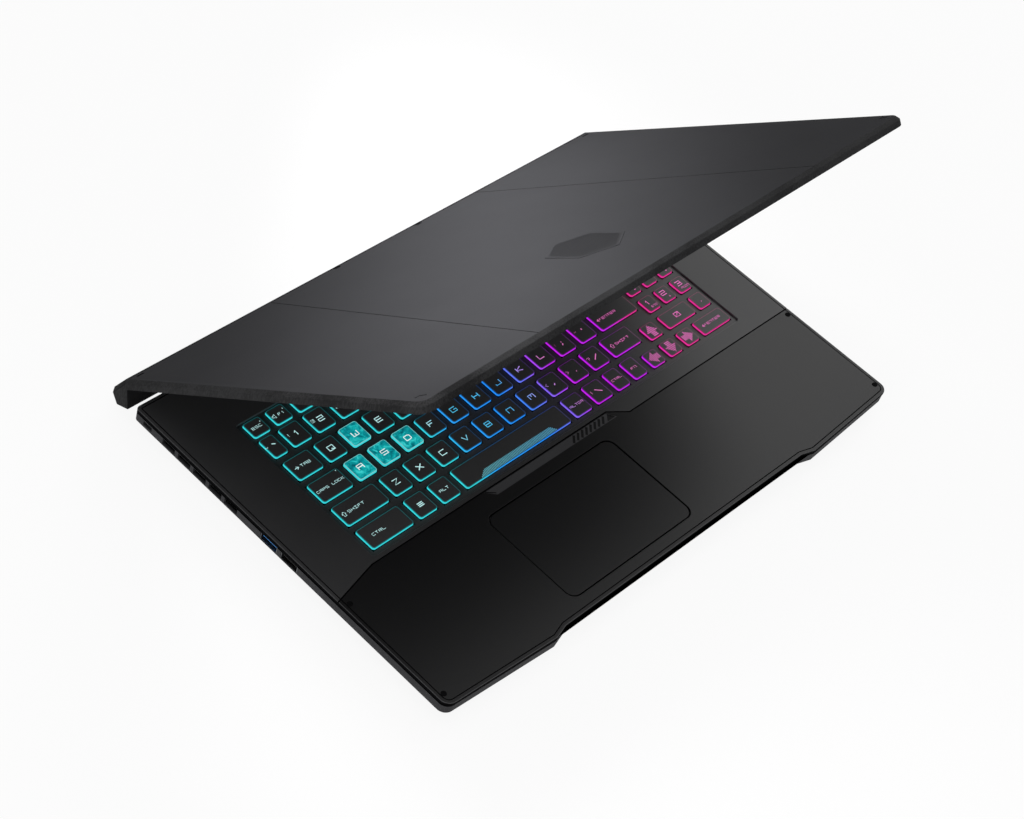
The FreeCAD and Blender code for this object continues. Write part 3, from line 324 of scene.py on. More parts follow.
def newMaterial(name, colour, roughness, metallic=0.0, specular=0.5):
    material = bpy.data.materials.new(name)
    material.use_nodes = True
    tree = material.node_tree
    values = {"Base Color": linear(colour), "Roughness": roughness, "Metallic": metallic,
              "Specular IOR Level": specular}
    return material, tree, node(tree, tree.nodes["Principled BSDF"], values=values)


def perMetre(size):
    return 1 / (size * mm)  # a pattern's scale on Object coordinates, from its size in mm


def grained(name, colour, shade, roughness, grain, bump, metallic=0.0, specular=0.5, stretch=(1, 1, 1),
            cloud=35.0, roughSpread=0.08, contrast=0.2):
    # A moulded, painted or cast surface: a slow cloud of tone, a fine grain in the gloss and in the
    # relief. The grain is in mm, and a real one that is finer is drawn as coarse as it needs to show.
    material, tree, shader = newMaterial(name, colour, roughness, metallic, specular)
    place = node(tree, "TexCoord").outputs["Object"]
    drawn = node(tree, "Mapping", {"Vector": place}, {"Scale": stretch})
    fine = node(tree, "TexNoise", {"Vector": drawn},
                {"Scale": perMetre(grain), "Detail": 3.0, "Roughness": 0.6})
    slow = node(tree, "TexNoise", {"Vector": place}, {"Scale": perMetre(cloud), "Detail": 2.0})
    both = node(tree, "Math", {0: fine, 1: slow}, operation="ADD")
    half = node(tree, "Math", {0: both}, {1: 0.5}, operation="MULTIPLY")
    tone = node(tree, "ValToRGB", {"Fac": half}, stops=[(0.5 - contrast, shade), (0.5 + contrast, colour)])
    rough = node(tree, "MapRange", {"Value": fine},
                 {"To Min": roughness - roughSpread, "To Max": roughness + roughSpread})
    relief = node(tree, "Bump", {"Height": fine}, {"Strength": bump, "Distance": 0.1 * mm})
    node(tree, shader, {"Base Color": tone, "Roughness": rough, "Normal": relief})
    return material


# Powder-coated aluminium: an even satin grey with a faint orange-peel grain
lidPaint = grained("powderCoatedAluminium", "#333335", "#303032", 0.55, 0.9, 0.05, specular=0.005)
# Moulded ABS rim round the lid: darker, with a grain that runs across the edge
lidRim = grained("mouldedGrainRim", "#2b2b2c", "#151516", 0.65, 0.8, 0.6, specular=0.08,
                 stretch=(1, 1, 0.25), contrast=0.08)
# The hooked spine and the lid's inside: the same plastic as the rim in a nearly black copy, painted shade
lidShadedPlastic = grained("rimPlasticPaintedShade", "#151516", "#0e0e0f", 0.6, 1.0, 0.3, specular=0.06)
# Satin black paint on the deck's sheet aluminium: nearly even, a very fine tooth
deckPaint = grained("satinBlackPaint", "#0d0d0e", "#0b0b0c", 0.43, 0.8, 0.05, specular=0.24,
                    roughSpread=0.04)
# The same sheet behind the groove, with a coarser tooth, and painted lighter than the palm rest: painted light
# against the shade the lid casts there
fieldPaint = grained("texturedBlackPaint", "#303031", "#2a2a2b", 0.5, 0.6, 0.12, specular=0.36,
                     roughSpread=0.05)
# Bottom cover in spark-eroded ABS: a visible grain, less gloss than the deck
caseAbs = grained("sparkErodedAbs", "#343436", "#2a2a2c", 0.62, 0.7, 0.35, specular=0.12, cloud=4.0)
# Key field between the caps: moulded polycarbonate, matte and lightly pitted
fieldPlastic = grained("pittedPolycarbonate", "#2b2b2c", "#232324", 0.55, 0.7, 0.4, specular=0.55)
# Painted light: a lighter grey on the key window's rounded edge, lifting the shade it lies in, and on the strip
# before the groove, standing in for the light a sloped strip catches
paintedLightGrey = grained("greyPaintedLight", "#434345", "#3b3b3d", 0.45, 0.6, 0.1, specular=0.36)
# Key cap tops: soft-touch lacquer, matte and even
capLacquer = grained("softTouchLacquer", "#3a3a3b", "#353536", 0.5, 0.5, 0.08, specular=0.32)
# Touchpad: bead-blasted glass-filled sheet, smoother than the deck
touchSheet = grained("beadBlastedSheet", "#111112", "#0f0f10", 0.44, 0.4, 0.04, specular=0.19,
                     roughSpread=0.04)
# Natural rubber: dusty and fully matte
rubber = grained("mouldedRubber", "#09090a", "#050506", 0.85, 0.6, 0.3, specular=0.05)
# Bezel: black ABS with a fine grain that dulls its reflections
bezelAbs = grained("fineGrainAbs", "#151516", "#101011", 0.55, 0.6, 0.2, specular=0.3)
# Painted shade: flat black with no gloss and no tone on the floors of engraved marks, the deck's steep walls, the
# cover's broken upper edge and the caps' skirts
paintedShadeBlack = grained("paintedShadeFill", "#060607", "#040405", 0.8, 0.6, 0.1, specular=0.02)
# Badge: brushed dark aluminium under clear lacquer, a little darker than the paint round it
badgeMetal = grained("brushedDarkAluminium", "#202022", "#1b1b1d", 0.5, 0.5, 0.1, specular=0.02,
                     stretch=(0.05, 1, 1))
print("materials made")

# Lid back cover, in mm from the deck's front corners and its top, closed
lid = dict(
    front=0.8, low=0.6, top=6.6, cornerRadius=7.0, band=2.25, softEdge=0.35,
    spineStart=254.0, shoulder=(269.5, 1.0), heel=(270.0, -9.0), toe=(260.5, -11.8), spineFront=253.6,
    rim=1.6, skin=1.4, cavityRear=250.1, knuckleX=152.0, slotHalf=14.8, slotRoof=4.6, slotSlope=0.36,
    hookStart=245.1, paintedShadeFrom=0.1, paintedShadeTo=1.0, underTilt=-0.5,
    # Marks on the right half: a crease, a notch at the spine, a drip line in two runs, two corner marks
    marks=[
        ([(88.0, 254.0), (115.0, -0.2)], 0.5, 0.3),
        ([(31.4, 254.6), (33.0, 249.0), (37.0, 249.0), (38.6, 254.6)], None, 0.5),
        ([(35.0, 252.2), (196.0, 252.2)], 0.7, 0.3),
        ([(0.0, 252.2), (35.0, 252.2)], 0.7, 0.3),
        ([(188.5, 8.5), (193.5, 8.5), (193.5, 12.5), (190.5, 12.5)], None, 0.25),
        ([(188.0, 248.5), (193.0, 248.5)], 2.0, 0.25),
    ],
)


def lidCover():
    half = halfWidth / mm
    top = lid["top"]
    ring = [(lid["front"], lid["low"]), (lid["front"], top), (lid["spineStart"], top),
            lid["shoulder"], lid["heel"], lid["toe"], (lid["spineFront"], lid["low"])]
    cover = prism([onDeck(-half, y, z) for y, z in ring], (2 * halfWidth, 0, 0))
    topZ = onDeck(0, 0, top).z
    startY = onDeck(0, lid["spineStart"]).y
    shoulderZ = onDeck(0, 0, lid["shoulder"][1]).z
    # Round the front corners seen from above
    bevelled(cover, cornersAt(halfWidth, onDeck(0, lid["front"]).y), lid["cornerRadius"], cornerSteps)

    # The soft band along the front, the corners and the sides, down the slope of the spine
    def onBand(a, b):
        flat = near(a.z, topZ) and near(b.z, topZ) and not (near(a.y, startY) and near(b.y, startY))
        atSide = near(a.x, b.x) and near(abs(a.x), halfWidth)
        slope = atSide and near(a.y, startY) != near(b.y, startY)
        return flat or (slope and min(a.z, b.z) > shoulderZ - mm and max(a.z, b.z) > topZ - mm)
    bevelled(cover, onBand, lid["band"], segments=1, clamp=False)
    softenSharp(cover, lid["softEdge"])
    # Room for the screen, and the slots that the hinge knuckles stand in
    side, wall = half - lid["rim"], lid["front"] + lid["rim"]
    room = block(onDeck(-side, wall, lid["low"] - over),
                 onDeck(side, lid["cavityRear"], top - lid["skin"]))
    roomCorners = cornersAt(side * mm, onDeck(0, wall).y)
    bevelled(room, roomCorners, lid["cornerRadius"] - lid["rim"], cornerSteps)
    cutters = [room]
    front, rear, low = lid["cavityRear"] - over, lid["heel"][0] + over, lid["toe"][1] - over
    roof = lid["slotRoof"]
    rearRoof = roof - lid["slotSlope"] * (rear - lid["spineStart"])
    slot = [(front, roof), (lid["spineStart"], roof), (rear, rearRoof), (rear, low), (front, low)]
    for way in (-1, 1):
        x = way * lid["knuckleX"] - lid["slotHalf"]
        cutters.append(prism([onDeck(x, y, z) for y, z in slot], (2 * lid["slotHalf"] * mm, 0, 0)))
    cut(cover, cutters + engravers(lid["marks"], top, (-1, 1)))
    smooth(cover)
    settle(cover, "lidCover", "lid", [lidPaint, lidRim, lidShadedPlastic, paintedShadeBlack], ["lid_cover"])
    hookY = onDeck(0, lid["hookStart"]).y
    for f in cover.data.polygons:
        up, behind = f.normal.z > upward, f.center.y > hookY
        # Painted shade: the floors of the marks near the spine are flat black, and the spine and the downward
        # faces take the nearly black copy of the rim plastic
        shadedFloor = up and behind and lid["paintedShadeFrom"] < (topZ - f.center.z) / mm < lid["paintedShadeTo"]
        f.material_index = 3 if shadedFloor else 0 if up else 2 if behind or f.normal.z < lid["underTilt"] else 1
    return swung(cover, lidAngle)


# Badge plate, in mm: its place on the lid, and the steps from its edge to the middle
badge = dict(sides=6, radius=26.0, squeeze=0.86, y=75.0, thick=0.5, lift=0.05, softEdge=0.12, rim=0.1,
             steps=[(2.2, -0.18), (4.0, 0.0), (0.4, -0.1)])


def lidBadge():
    # A plain six-sided plate with a raised rim
    place = onDeck(0, badge["y"], lid["top"] + badge["lift"])
    plate = drum(badge["sides"], badge["radius"] * mm, badge["thick"] * mm, place,
                 (badge["squeeze"], 1, 1))
    top = cornersOf(plate)[1].z
    insetTop(plate, badge["steps"])
    bevelled(plate, atHeight(top), badge["softEdge"])
    smooth(plate)
    settle(plate, "lidBadge", "lid", [lidPaint, badgeMetal])
    for f in plate.data.polygons:
        inner = f.normal.z > upward and f.center.z < top - badge["rim"] * mm
        f.material_index = 1 if inner else 0
    swung(plate, lidAngle)


# Bezel, in mm: the play round it, and how the edge round the glass is told from the outer one
bezel = dict(play=0.2, glassEdge=0.5, margin=2.0, longEdge=50.0)


def screenBezel():
    # The CAD frame with its outer corners rounded to the cover and the edge round the glass drawn in
    rim = swung(merged("screen_bezel"), -lidAngle)
    low, high = cornersOf(rim)
    radius = lid["cornerRadius"] - lid["rim"] - bezel["play"]
    bevelled(rim, cornersAt(high.x, low.y), radius, cornerSteps)
    margin = bezel["margin"] * mm

    def roundGlass(a, b):
        inner = all(low[i] + margin < p[i] < high[i] - margin for p in (a, b) for i in (0, 1))
        return inner and (a - b).length > bezel["longEdge"] * mm and atHeight(low.z)(a, b)
    bevelled(rim, roundGlass, bezel["glassEdge"])
    editAll(rim)
    bpy.ops.mesh.remove_doubles(threshold=weld)
    bpy.ops.mesh.dissolve_degenerate(threshold=weld)
    done()
    smooth(rim)
    settle(rim, "screenBezel", "lid", [bezelAbs], ["screen_bezel"])
    swung(rim, lidAngle)


cover = lidCover()
lidBadge()
screenBezel()
print("lid modelled:", len(cover.data.polygons), "faces")

# Deck, in mm
deck = dict(
    seam=0.4, notchSetback=2.8, bulgeHalf=117.0, notchHalf=107.0, frontRadius=6.0, rearRadius=3.0,
    edge=0.45, border=[(1.7, 0.0), (0.1, -0.2), (0.45, 0.0), (0.1, 0.2)],
    windowMargin=3.4, windowRadius=2.0, lip=0.75, softWindow=0.5, openingDepth=5.0,
    touchGap=0.6, touchRadius=6.6, softTouch=0.3,
    touchZone=(4.0, 90.0), windowZone=(90.0, 240.0), sideMargin=5.0,
    groove=[(-200.0, 84.0), (-166.0, 92.0), (30.5, 92.0), (43.0, 83.7), (200.0, 83.7)],
    grooveWidth=0.9, grooveDepth=0.5,
    strip=[(-77.0, 91.2), (-71.2, 85.7), (33.5, 85.7), (30.8, 88.6), (29.0, 91.2)], stripDepth=0.03,
    hatchCount=8, hatchStart=-4.5, hatchPitch=3.75, hatchLean=4.2, hatchFront=86.4, hatchRear=90.6,
    hatchWidth=1.5, hatchDepth=0.25, pointer=[(25.6, 86.2), (32.4, 86.2), (29.3, 90.4)],
    tick=[(-76.3, 91.2), (-71.0, 87.0)], tickWidth=0.8,
    fieldFrom=93.0, fieldCorner=(166.0, 85.0), paintedShadeFrom=0.15, paintedShadeTo=1.0, steep=0.55,
    edgeTilt=(-0.5, 0.95), sameDepth=0.005,
)
keyNodes = [n for n in nodes if n.startswith(("key_", "keys_")) and n != "key_domes"]
keyBoxes = {n: solidsOf(n) for n in keyNodes}
allKeys = [box for boxes in keyBoxes.values() for box in boxes]
keyTop = max(box[1].z for box in allKeys)


def opening(low, high):
    return (Vector((*low, deckTop - deck["openingDepth"] * mm)), Vector((*high, deckTop + over * mm)))


margin = (deck["windowMargin"] - deck["lip"]) * mm
window = opening([min(box[0][i] for box in allKeys) - margin for i in (0, 1)],
                 [max(box[1][i] for box in allKeys) + margin for i in (0, 1)])


def deckRing():
    half = halfWidth / mm
    rear = (deckBox[1].y - deckFront) / mm
    front = -bulge / mm
    notch = front + deck["notchSetback"]
    ring = [(-half, 0), (-deck["bulgeHalf"], front), (-deck["notchHalf"], notch),
            (deck["notchHalf"], notch), (deck["bulgeHalf"], front), (half, 0), (half, rear), (-half, rear)]
    return [onDeck(x, y).xy for x, y in ring]


def inside(place, ring, depth):
    # True if a place lies more than depth within a ring of points
    sides = zip(ring, ring[1:] + ring[:1])
    return all((b - a).orthogonal().normalized().dot(place.xy - a) > depth for a, b in sides)


def roundOpening(front, rear):
    # A test for edges at the deck's top between two depths, away from its sides
    widest = halfWidth - deck["sideMargin"] * mm
    return lambda a, b: atHeight(deckTop)(a, b) and all(
        abs(p.x) < widest and front < (p.y - deckFront) / mm < rear for p in (a, b))


def deckSkin():
    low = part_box("bottom_cover")[1].z + deck["seam"] * mm
    skin = prism([Vector((*p, low)) for p in deckRing()], (0, 0, deckTop - low))
    for y, radius in ((deckFront, deck["frontRadius"]), (deckBox[1].y, deck["rearRadius"])):
        bevelled(skin, cornersAt(halfWidth, y), radius, segments=6)
    bevelled(skin, atHeight(deckTop), deck["edge"], segments=3)
    # A fine groove all round, drawn in from the edge, whose floor gets painted shade
    insetTop(skin, deck["border"])
    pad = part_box("touchpad")
    gap = Vector((deck["touchGap"], deck["touchGap"])) * mm
    padOpening = opening(pad[0].xy - gap, pad[1].xy + gap)
    cut(skin, [roundedBlock(*window, deck["windowRadius"]),
               roundedBlock(*padOpening, deck["touchRadius"], cornerSteps)])
    bevelled(skin, roundOpening(*deck["touchZone"]), deck["softTouch"])
    bevelled(skin, roundOpening(*deck["windowZone"]), deck["softWindow"])
    # A groove, a strip before it a hair lower than the deck, slanted vent-like bars and a pointer sunk
    # into the strip, and a tick at its other end
    marks = [(deck["groove"], deck["grooveWidth"], deck["grooveDepth"]),
             (deck["strip"], None, deck["stripDepth"])]
    for i in range(deck["hatchCount"]):
        x = deck["hatchStart"] + i * deck["hatchPitch"]
        ends = [(x, deck["hatchFront"]), (x + deck["hatchLean"], deck["hatchRear"])]
        marks.append((ends, deck["hatchWidth"], deck["hatchDepth"]))
    marks.append((deck["pointer"], None, deck["hatchDepth"]))
    marks.append((deck["tick"], deck["tickWidth"], deck["hatchDepth"]))
    cut(skin, engravers(marks))
    smooth(skin)
    settle(skin, "deckSkin", "base", [deckPaint, fieldPaint, paintedShadeBlack, paintedLightGrey],
           ["top_case"])
    for f in skin.data.polygons:
        x, y = f.center.x / mm, (f.center.y - deckFront) / mm
        depth = (deckTop - f.center.z) / mm
        inWindow = all(window[0][i] - mm < f.center[i] < window[1][i] + mm for i in (0, 1))
        windowEdge = inWindow and deck["edgeTilt"][0] < f.normal.z < deck["edgeTilt"][1]
        # Painted light: the key window's rounded edge and the shallow strip take the lighter grey
        paintedLight = windowEdge or near(depth, deck["stripDepth"], deck["sameDepth"])
        hatched = near(depth, deck["hatchDepth"], deck["sameDepth"])
        # Painted shade: flat black on the floors of the groove and the border groove, and on the steep walls
        # outside the key window
        shadedFloor = f.normal.z > upward and deck["paintedShadeFrom"] < depth < deck["paintedShadeTo"] and not hatched
        paintedShade = shadedFloor or (abs(f.normal.z) < deck["steep"] and not inWindow)
        # The area behind the groove takes the paint that is lightened against the lid's shade
        field = y > deck["fieldFrom"] or (abs(x) > deck["fieldCorner"][0] and y > deck["fieldCorner"][1])
        f.material_index = 3 if paintedLight else 2 if paintedShade else 1 if field else 0
    return skin


skin = deckSkin()
print("deck modelled:", len(skin.data.polygons), "faces")

# Light colours along the keyboard, by x in mm: left, middle and right zones run into each other
glowStops = [(-75, "#35dfe6"), (-58, "#2aa6ff"), (-12, "#1e8cff"), (6, "#6a78ff"), (20, "#a24dfb"),
             (32, "#cb20f4"), (84, "#cb20f4"), (104, "#ea2f97")]
legendStops = [(-75, "#c4f6f6"), (-48, "#4cc6ee"), (-8, "#48aef0"), (12, "#b58cf2"), (32, "#e07ac6"),
               (104, "#f06cc4")]


def zoneLight(name, stops, strength, spread=0.15):
    # Lit translucent polycarbonate: the colour of the lamp below that place, a little uneven
    material, tree, shader = newMaterial(name, "#050506", 0.4)
    place = node(tree, "TexCoord").outputs["Object"]
    x = node(tree, "SeparateXYZ", {"Vector": place})
    share = node(tree, "MapRange", {"Value": x}, {"From Min": -halfWidth, "From Max": halfWidth})
    colour = node(tree, "ValToRGB", {"Fac": share},
                  stops=[(0.5 + at * mm / (2 * halfWidth), shown) for at, shown in stops])
    cloud = node(tree, "TexNoise", {"Vector": place}, {"Scale": perMetre(6.0), "Detail": 1.0})
    uneven = node(tree, "MapRange", {"Value": cloud},
                  {"To Min": strength * (1 - spread), "To Max": strength * (1 + spread)})
    node(tree, shader, {"Emission Color": colour, "Emission Strength": uneven})
    return material


# The caps' walls glow in full, and the thin rim round their tops only faintly
wallGlow = zoneLight("litPolycarbonateWall", glowStops, 0.9)
rimGlow = zoneLight("dimPolycarbonateRim", glowStops, 0.16)
deckSides = (-halfWidth / mm, halfWidth / mm)  # an even colour has a stop at each
# Legends etched through the lacquer: paler than the walls, and white on the clear caps
legendGlow = zoneLight("laserEtchedLegend", legendStops, 0.9)
whiteGlow = zoneLight("laserEtchedWhite", [(x, "#f2ffff") for x in deckSides], 0.95)
# The clear caps' polished edge: a pale line
resinEdge = zoneLight("polishedResinEdge", [(x, "#8feceb") for x in deckSides], 0.7)
# The etched strip on the space bar: a dull sea blue
stripGlow = zoneLight("etchedLightStrip", [(-75, "#5ba6ae"), (-5, "#4a96b6")], 0.9)


def cloudyResin():
    # Clear resin caps lit from below: teal with drifting pale and deep clouds
    material, tree, shader = newMaterial("cloudyResin", "#0c5f66", 0.22)
    place = node(tree, "TexCoord").outputs["Object"]
    cloud = node(tree, "TexNoise", {"Vector": place},
                 {"Scale": perMetre(4.5), "Detail": 5.0, "Roughness": 0.6, "Distortion": 0.8})
    colour = node(tree, "ValToRGB", {"Fac": cloud},
                  stops=[(0.34, "#05606b"), (0.46, "#0a8890"), (0.56, "#13abad"), (0.68, "#3fd2d0")])
    node(tree, shader, {"Base Color": colour, "Emission Color": colour}, {"Emission Strength": 0.7})
    return material


resin = cloudyResin()

# Key caps, in mm: the master cap's half width and edges, how far the lip of the CAD key reaches past a
# cap, and how much of the wall below the top is lit
cap = dict(half=5.0, corner=1.6, draft=0.35, rim=0.16, edge=0.26, lip=0.75, lit=1.5, wallTilt=0.3)


def masterCap():
    low = min(box[0].z for box in allKeys)
    half = cap["half"] * mm
    piece = block((-half, -half, low), (half, half, keyTop))
    pick(piece, faces=lambda c, n: n.z > upward)
    share = 1 - cap["draft"] / cap["half"]
    bpy.ops.transform.resize(value=(share, share, 1))
    done()
    bevelled(piece, lambda a, b: abs(a.z - b.z) > mm, cap["corner"], segments=5)
    bevelled(piece, atHeight(keyTop), cap["edge"])
    insetTop(piece, [(cap["rim"], 0.0)])
    lit = keyTop - cap["lit"] * mm
    editAll(piece)
    bpy.ops.mesh.bisect(plane_co=(0, 0, lit), plane_no=(0, 0, 1))
    done()
    for material in (capLacquer, rimGlow, wallGlow, paintedShadeBlack):
        piece.data.materials.append(material)
    # Painted shade: the skirt below the lit walls is flat black
    for f in piece.data.polygons:  # top, thin rim round it, lit walls, dark skirt below them
        top = f.normal.z > level and len(f.vertices) > 4
        wall = 2 if f.center.z > lit else 3
        f.material_index = 0 if top else wall if f.normal.z < cap["wallTilt"] else 1
    smooth(piece)
    return piece


def capFor(master, box):
    # The corners keep their shape and the sides between them stretch
    piece = copyOf(master)
    lip = Vector((cap["lip"], cap["lip"], 0)) * mm
    low, high = box[0] + lip, box[1] - lip
    middle = (low + high) / 2
    grow = (high - low) / 2 - Vector((cap["half"], cap["half"], 0)) * mm
    for v in piece.data.vertices:
        v.co.x += middle.x + math.copysign(grow.x, v.co.x)
        v.co.y += middle.y + math.copysign(grow.y, v.co.y)
    return piece


# Lettering: each glyph is a few strokes, parted by commas, and each stroke is a run of points, x and y
# on a grid. Small letters are signs.
glyphGrid = (4, 6)  # its steps across and up
glyphTable = r"""
A 00064640,0343  B 0006464000,0343  C 46060040  D 00063645413000  E 46060040,0343  F 460600,0333
G 460600404323  H 0006,0343,4640  I 0646,2620,0040  J 46400002  K 0006,460340  L 060040  M 00064640,2623
N 00064640  O 0006464000  P 0006464303  Q 0006464000,2240  R 0006464303,2340  S 460603434000  T 0646,2620
U 06004046  V 062046  W 06004046,2023  X 0046,0640  Y 06034346,2320  Z 06460040  0 000646400046  1 142620
2 064643030040  3 06464000,1343  4 060343,4640  5 460603434000  6 460600404303  7 064640
8 0006464000,0343  9 430306464000  - 0343  = 0242,0444  [ 36161030  ] 16363010  ; 2425,2210  ' 2624
, 2210  . 2021  / 0046  \ 0640  ` 1634  * 0343,1531,1135  + 0343,2125  # 0242,0444,1016,3036  ! 2622,2021
@ 4000064642222444  $ 460603434000,2620  % 0046,0516,4130  ^ 142634  & 40152635011042  ( 36151130
) 16353110  _ 0040  { 3624032230  } 1624432210  : 2425,2122  " 1416,3436  < 360330  > 063300
? 050646432322,2021  | 2620  ~ 02143244  b 4303,250321  e 454303,250321  t 0343,254321  u 0326433330101303
m 0141,0343,0545  p 1504021030424435,2623  q 02041436301202  d 2620,022042  h 2620,042644  l 0343,250321
"""
glyphs = dict(zip(glyphTable.split()[::2], glyphTable.split()[1::2]))
legends = {
    "keys_bottom_row": "CTRL m ALT ALTGR \\| CTRL FN",
    "keys_lower_row": "u_SHIFT Z X C V B N M ,< .> /? u_SHIFT",
    "keys_home_row": "CAPS_LOCK F G H J K L ;: '\"",
    "keys_upper_row": "t_TAB Q E R T Y U I O P [{ ]} #~",
    "keys_number_row": "`~ 1! 2@ 3# 4$ 5% 6^ 7& 8* 9( 0) -_ =+ bBACK",
    "keys_function_row": "ESC qF1 F2 F3 F4 F5 F6 F7 F8 F9 F10 F11 F12 PRT INS DEL - +",
    "keys_number_pad": "eENTER 0 . 1END 2d 3PGDN 4l 5 6t 7HOME 8h 9PGUP NUM / *",
    "key_w": "W", "key_a": "A", "key_s": "S", "key_d": "D", "key_enter": "eENTER", "key_power": "p",
}
wordSigns = "betuq"  # the signs that stand before a word
clearKeys = ("key_w", "key_a", "key_s", "key_d")
signalKeys = ("CAPS_LOCK", "ESC", "qF1", "NUM")
arrowTurns = {"key_up": 0, "key_left": 90, "key_down": 180, "key_right": 270}
# Sizes in mm: the lettering's height, width, gap and stroke, and its shifts from the key's middle
font = dict(
    letter=(3.3, 4.0, 0, 0.62), corner=(2.1, 2.0, 0, 0.28), note=(1.4, 1.3, 0.5, 0.22),
    sign=(3.0, 2.9, 0, 0.4), word=(1.6, 1.85, 0.75, 0.28), beside=0.9, cornerShift=(-4.6, 0.8),
    digitShift=(-1.0, 1.2), noteShift=(1.2, -2.9), sideRoom=4.0, wideKey=24.0, wideShift=5.0,
    leastTall=0.75, signGap=1.2, dotInset=(2.7, 2.4), dotHalf=0.25, dotStroke=0.5, lift=0.005, proud=0.04,
)


def strokesOf(text, middle, tall, wide, gap, width):
    # Strokes as lists of points with their width, centred on middle
    strokes = []
    across, up = glyphGrid
    run = len(text) * wide + (len(text) - 1) * gap
    for i, letter in enumerate(text):
        left = middle.x - run / 2 * mm + i * (wide + gap) * mm
        for line in filter(None, glyphs.get(letter, "").split(",")):
            points = [(left + int(x) / across * wide * mm, middle.y + (int(y) / up - 0.5) * tall * mm)
                      for x, y in zip(line[::2], line[1::2])]
            strokes.append((points, width))
    return strokes


def shifted(place, x, y):
    return place + Vector((x * mm, y * mm, 0))


def keyLegend(text, box):
    middle = (box[0] + box[1]) / 2
    if len(text) == 1 or (len(text) == 2 and not text.isalnum()):  # a letter, or one with a corner sign
        aside = font["beside"] * (len(text) - 1)
        strokes = strokesOf(text[0], shifted(middle, aside, 0), *font["letter"])
        corner = shifted(middle, *font["cornerShift"])
        return strokes + strokesOf(text[1:], corner, *font["corner"])
    if text[0].isdigit():  # number block: the digit, and its second use in small letters below
        strokes = strokesOf(text[0], shifted(middle, *font["digitShift"]), *font["letter"])
        below = shifted(middle, *font["noteShift"])
        return strokes + strokesOf(text[1:], below, *font["note"])
    tall, wide, gap, width = font["word"]
    room = (box[1].x - box[0].x) / mm - font["sideRoom"]
    if room > font["wideKey"] and text != "CAPS_LOCK":
        middle.x -= font["wideShift"] * mm
    plain = text.replace("_", " ")
    word = text[1:].strip("_") if text[0] in wordSigns else plain
    fit = min(1.0, room / (len(word) * (wide + gap)))
    strokes = []
    if word != plain:  # a sign before the word
        signWide = font["sign"][1]
        before = len(word) * (wide + gap) * fit / 2 + font["signGap"] + signWide / 2
        middle.x += signWide / 2 * mm
        strokes = strokesOf(text[0], shifted(middle, -before, 0), *font["sign"])
    tall *= max(fit, font["leastTall"])
    return strokes + strokesOf(word, middle, tall, wide * fit, gap * fit, width)


# Arrow signs, in mm from the middle of the key
arrow = dict(bars=8, first=-4.2, pitch=1.2, headFrom=-1.2, headHalf=4.8, taper=0.85, stemHalf=2.0,
             leastHalf=0.3, stroke=0.55)


def arrowSign(box, turn):
    # A pointer drawn in short parallel bars
    middle = (box[0] + box[1]) / 2
    spin = Matrix.Rotation(math.radians(turn), 2)
    strokes = []
    for i in range(arrow["bars"]):
        y = arrow["first"] + i * arrow["pitch"]
        head = arrow["headHalf"] - (y - arrow["headFrom"]) * arrow["taper"]
        half = max(head, arrow["leastHalf"]) if y > arrow["headFrom"] else arrow["stemHalf"]
        ends = [spin @ Vector((way * half, y)) for way in (-1, 1)]
        strokes.append(([(middle.x + p.x * mm, middle.y + p.y * mm) for p in ends], arrow["stroke"]))
    return strokes


def signalDot(box):
    # The small lamp in the far corner of a locking key
    x, y = (box[1][i] - font["dotInset"][i] * mm for i in (0, 1))
    half = font["dotHalf"] * mm
    return [(x - half, y), (x + half, y)], font["dotStroke"]


# Hatching on the space bar, in mm on the deck
hatching = dict(left=-69.5, right=-6.0, front=99.5, rear=103.6, count=64, least=0.9, rise=0.9, lean=0.35,
                stroke=0.58)


def lightStrip():
    # Slanted hatching along the front edge of the space bar, drawn in at both ends
    strokes = []
    left, right, front, rear = (hatching[k] for k in ("left", "right", "front", "rear"))
    for i in range(hatching["count"]):
        x = left + (right - left) * i / (hatching["count"] - 1)
        tall = min(rear - front, hatching["least"] + min(x - left, right - x) * hatching["rise"])
        ends = [onDeck(x, front), onDeck(x + tall * hatching["lean"], front + tall)]
        strokes.append(([(p.x, p.y) for p in ends], hatching["stroke"]))
    return strokes


def inked(strokes):
    # Strokes become flat ribbons that lie on the key tops
    curve = bpy.data.curves.new("ink", "CURVE")
    curve.dimensions = "3D"
    curve.bevel_depth = mm / 2
    curve.bevel_resolution = 0
    curve.use_fill_caps = True
    for points, width in strokes:
        spline = curve.splines.new("POLY")
        spline.points.add(len(points) - 1)
        for point, (x, y) in zip(spline.points, points):
            point.co = (x, y, 0, 1)
            point.radius = width
    activate(linked("ink", curve))
    bpy.ops.object.convert(target="MESH")
    piece = added()
    for v in piece.data.vertices:
        v.co.z = keyTop + font["lift"] * mm + (font["proud"] * mm if v.co.z > 0 else 0)
    return piece


def keyboard():
    master = masterCap()
    for name, boxes in keyBoxes.items():
        caps = joined([capFor(master, box) for box in boxes])
        clear = name in clearKeys
        finish = [resin, resinEdge] if clear else [capLacquer, rimGlow]
        settle(caps, "caps_" + name, name, finish + [wallGlow, paintedShadeBlack], [name])
        strokes = []
        if name in arrowTurns:
            strokes = arrowSign(boxes[0], arrowTurns[name])
        elif name == "key_space":
            strokes = lightStrip()
        else:
            for text, box in zip(legends[name].split(" "), boxes):
                strokes += keyLegend(text, box)
                if text in signalKeys:
                    strokes.append(signalDot(box))
        ink = whiteGlow if clear else stripGlow if name == "key_space" else legendGlow
        settle(inked(strokes), "legend_" + name, name, [ink])
    bpy.data.objects.remove(master)


keyboard()
print("keyboard modelled:", len(allKeys), "keys")

# Touchpad plate, in mm
touch = dict(play=0.2, thick=1.5, corner=6.0, softEdge=0.25)


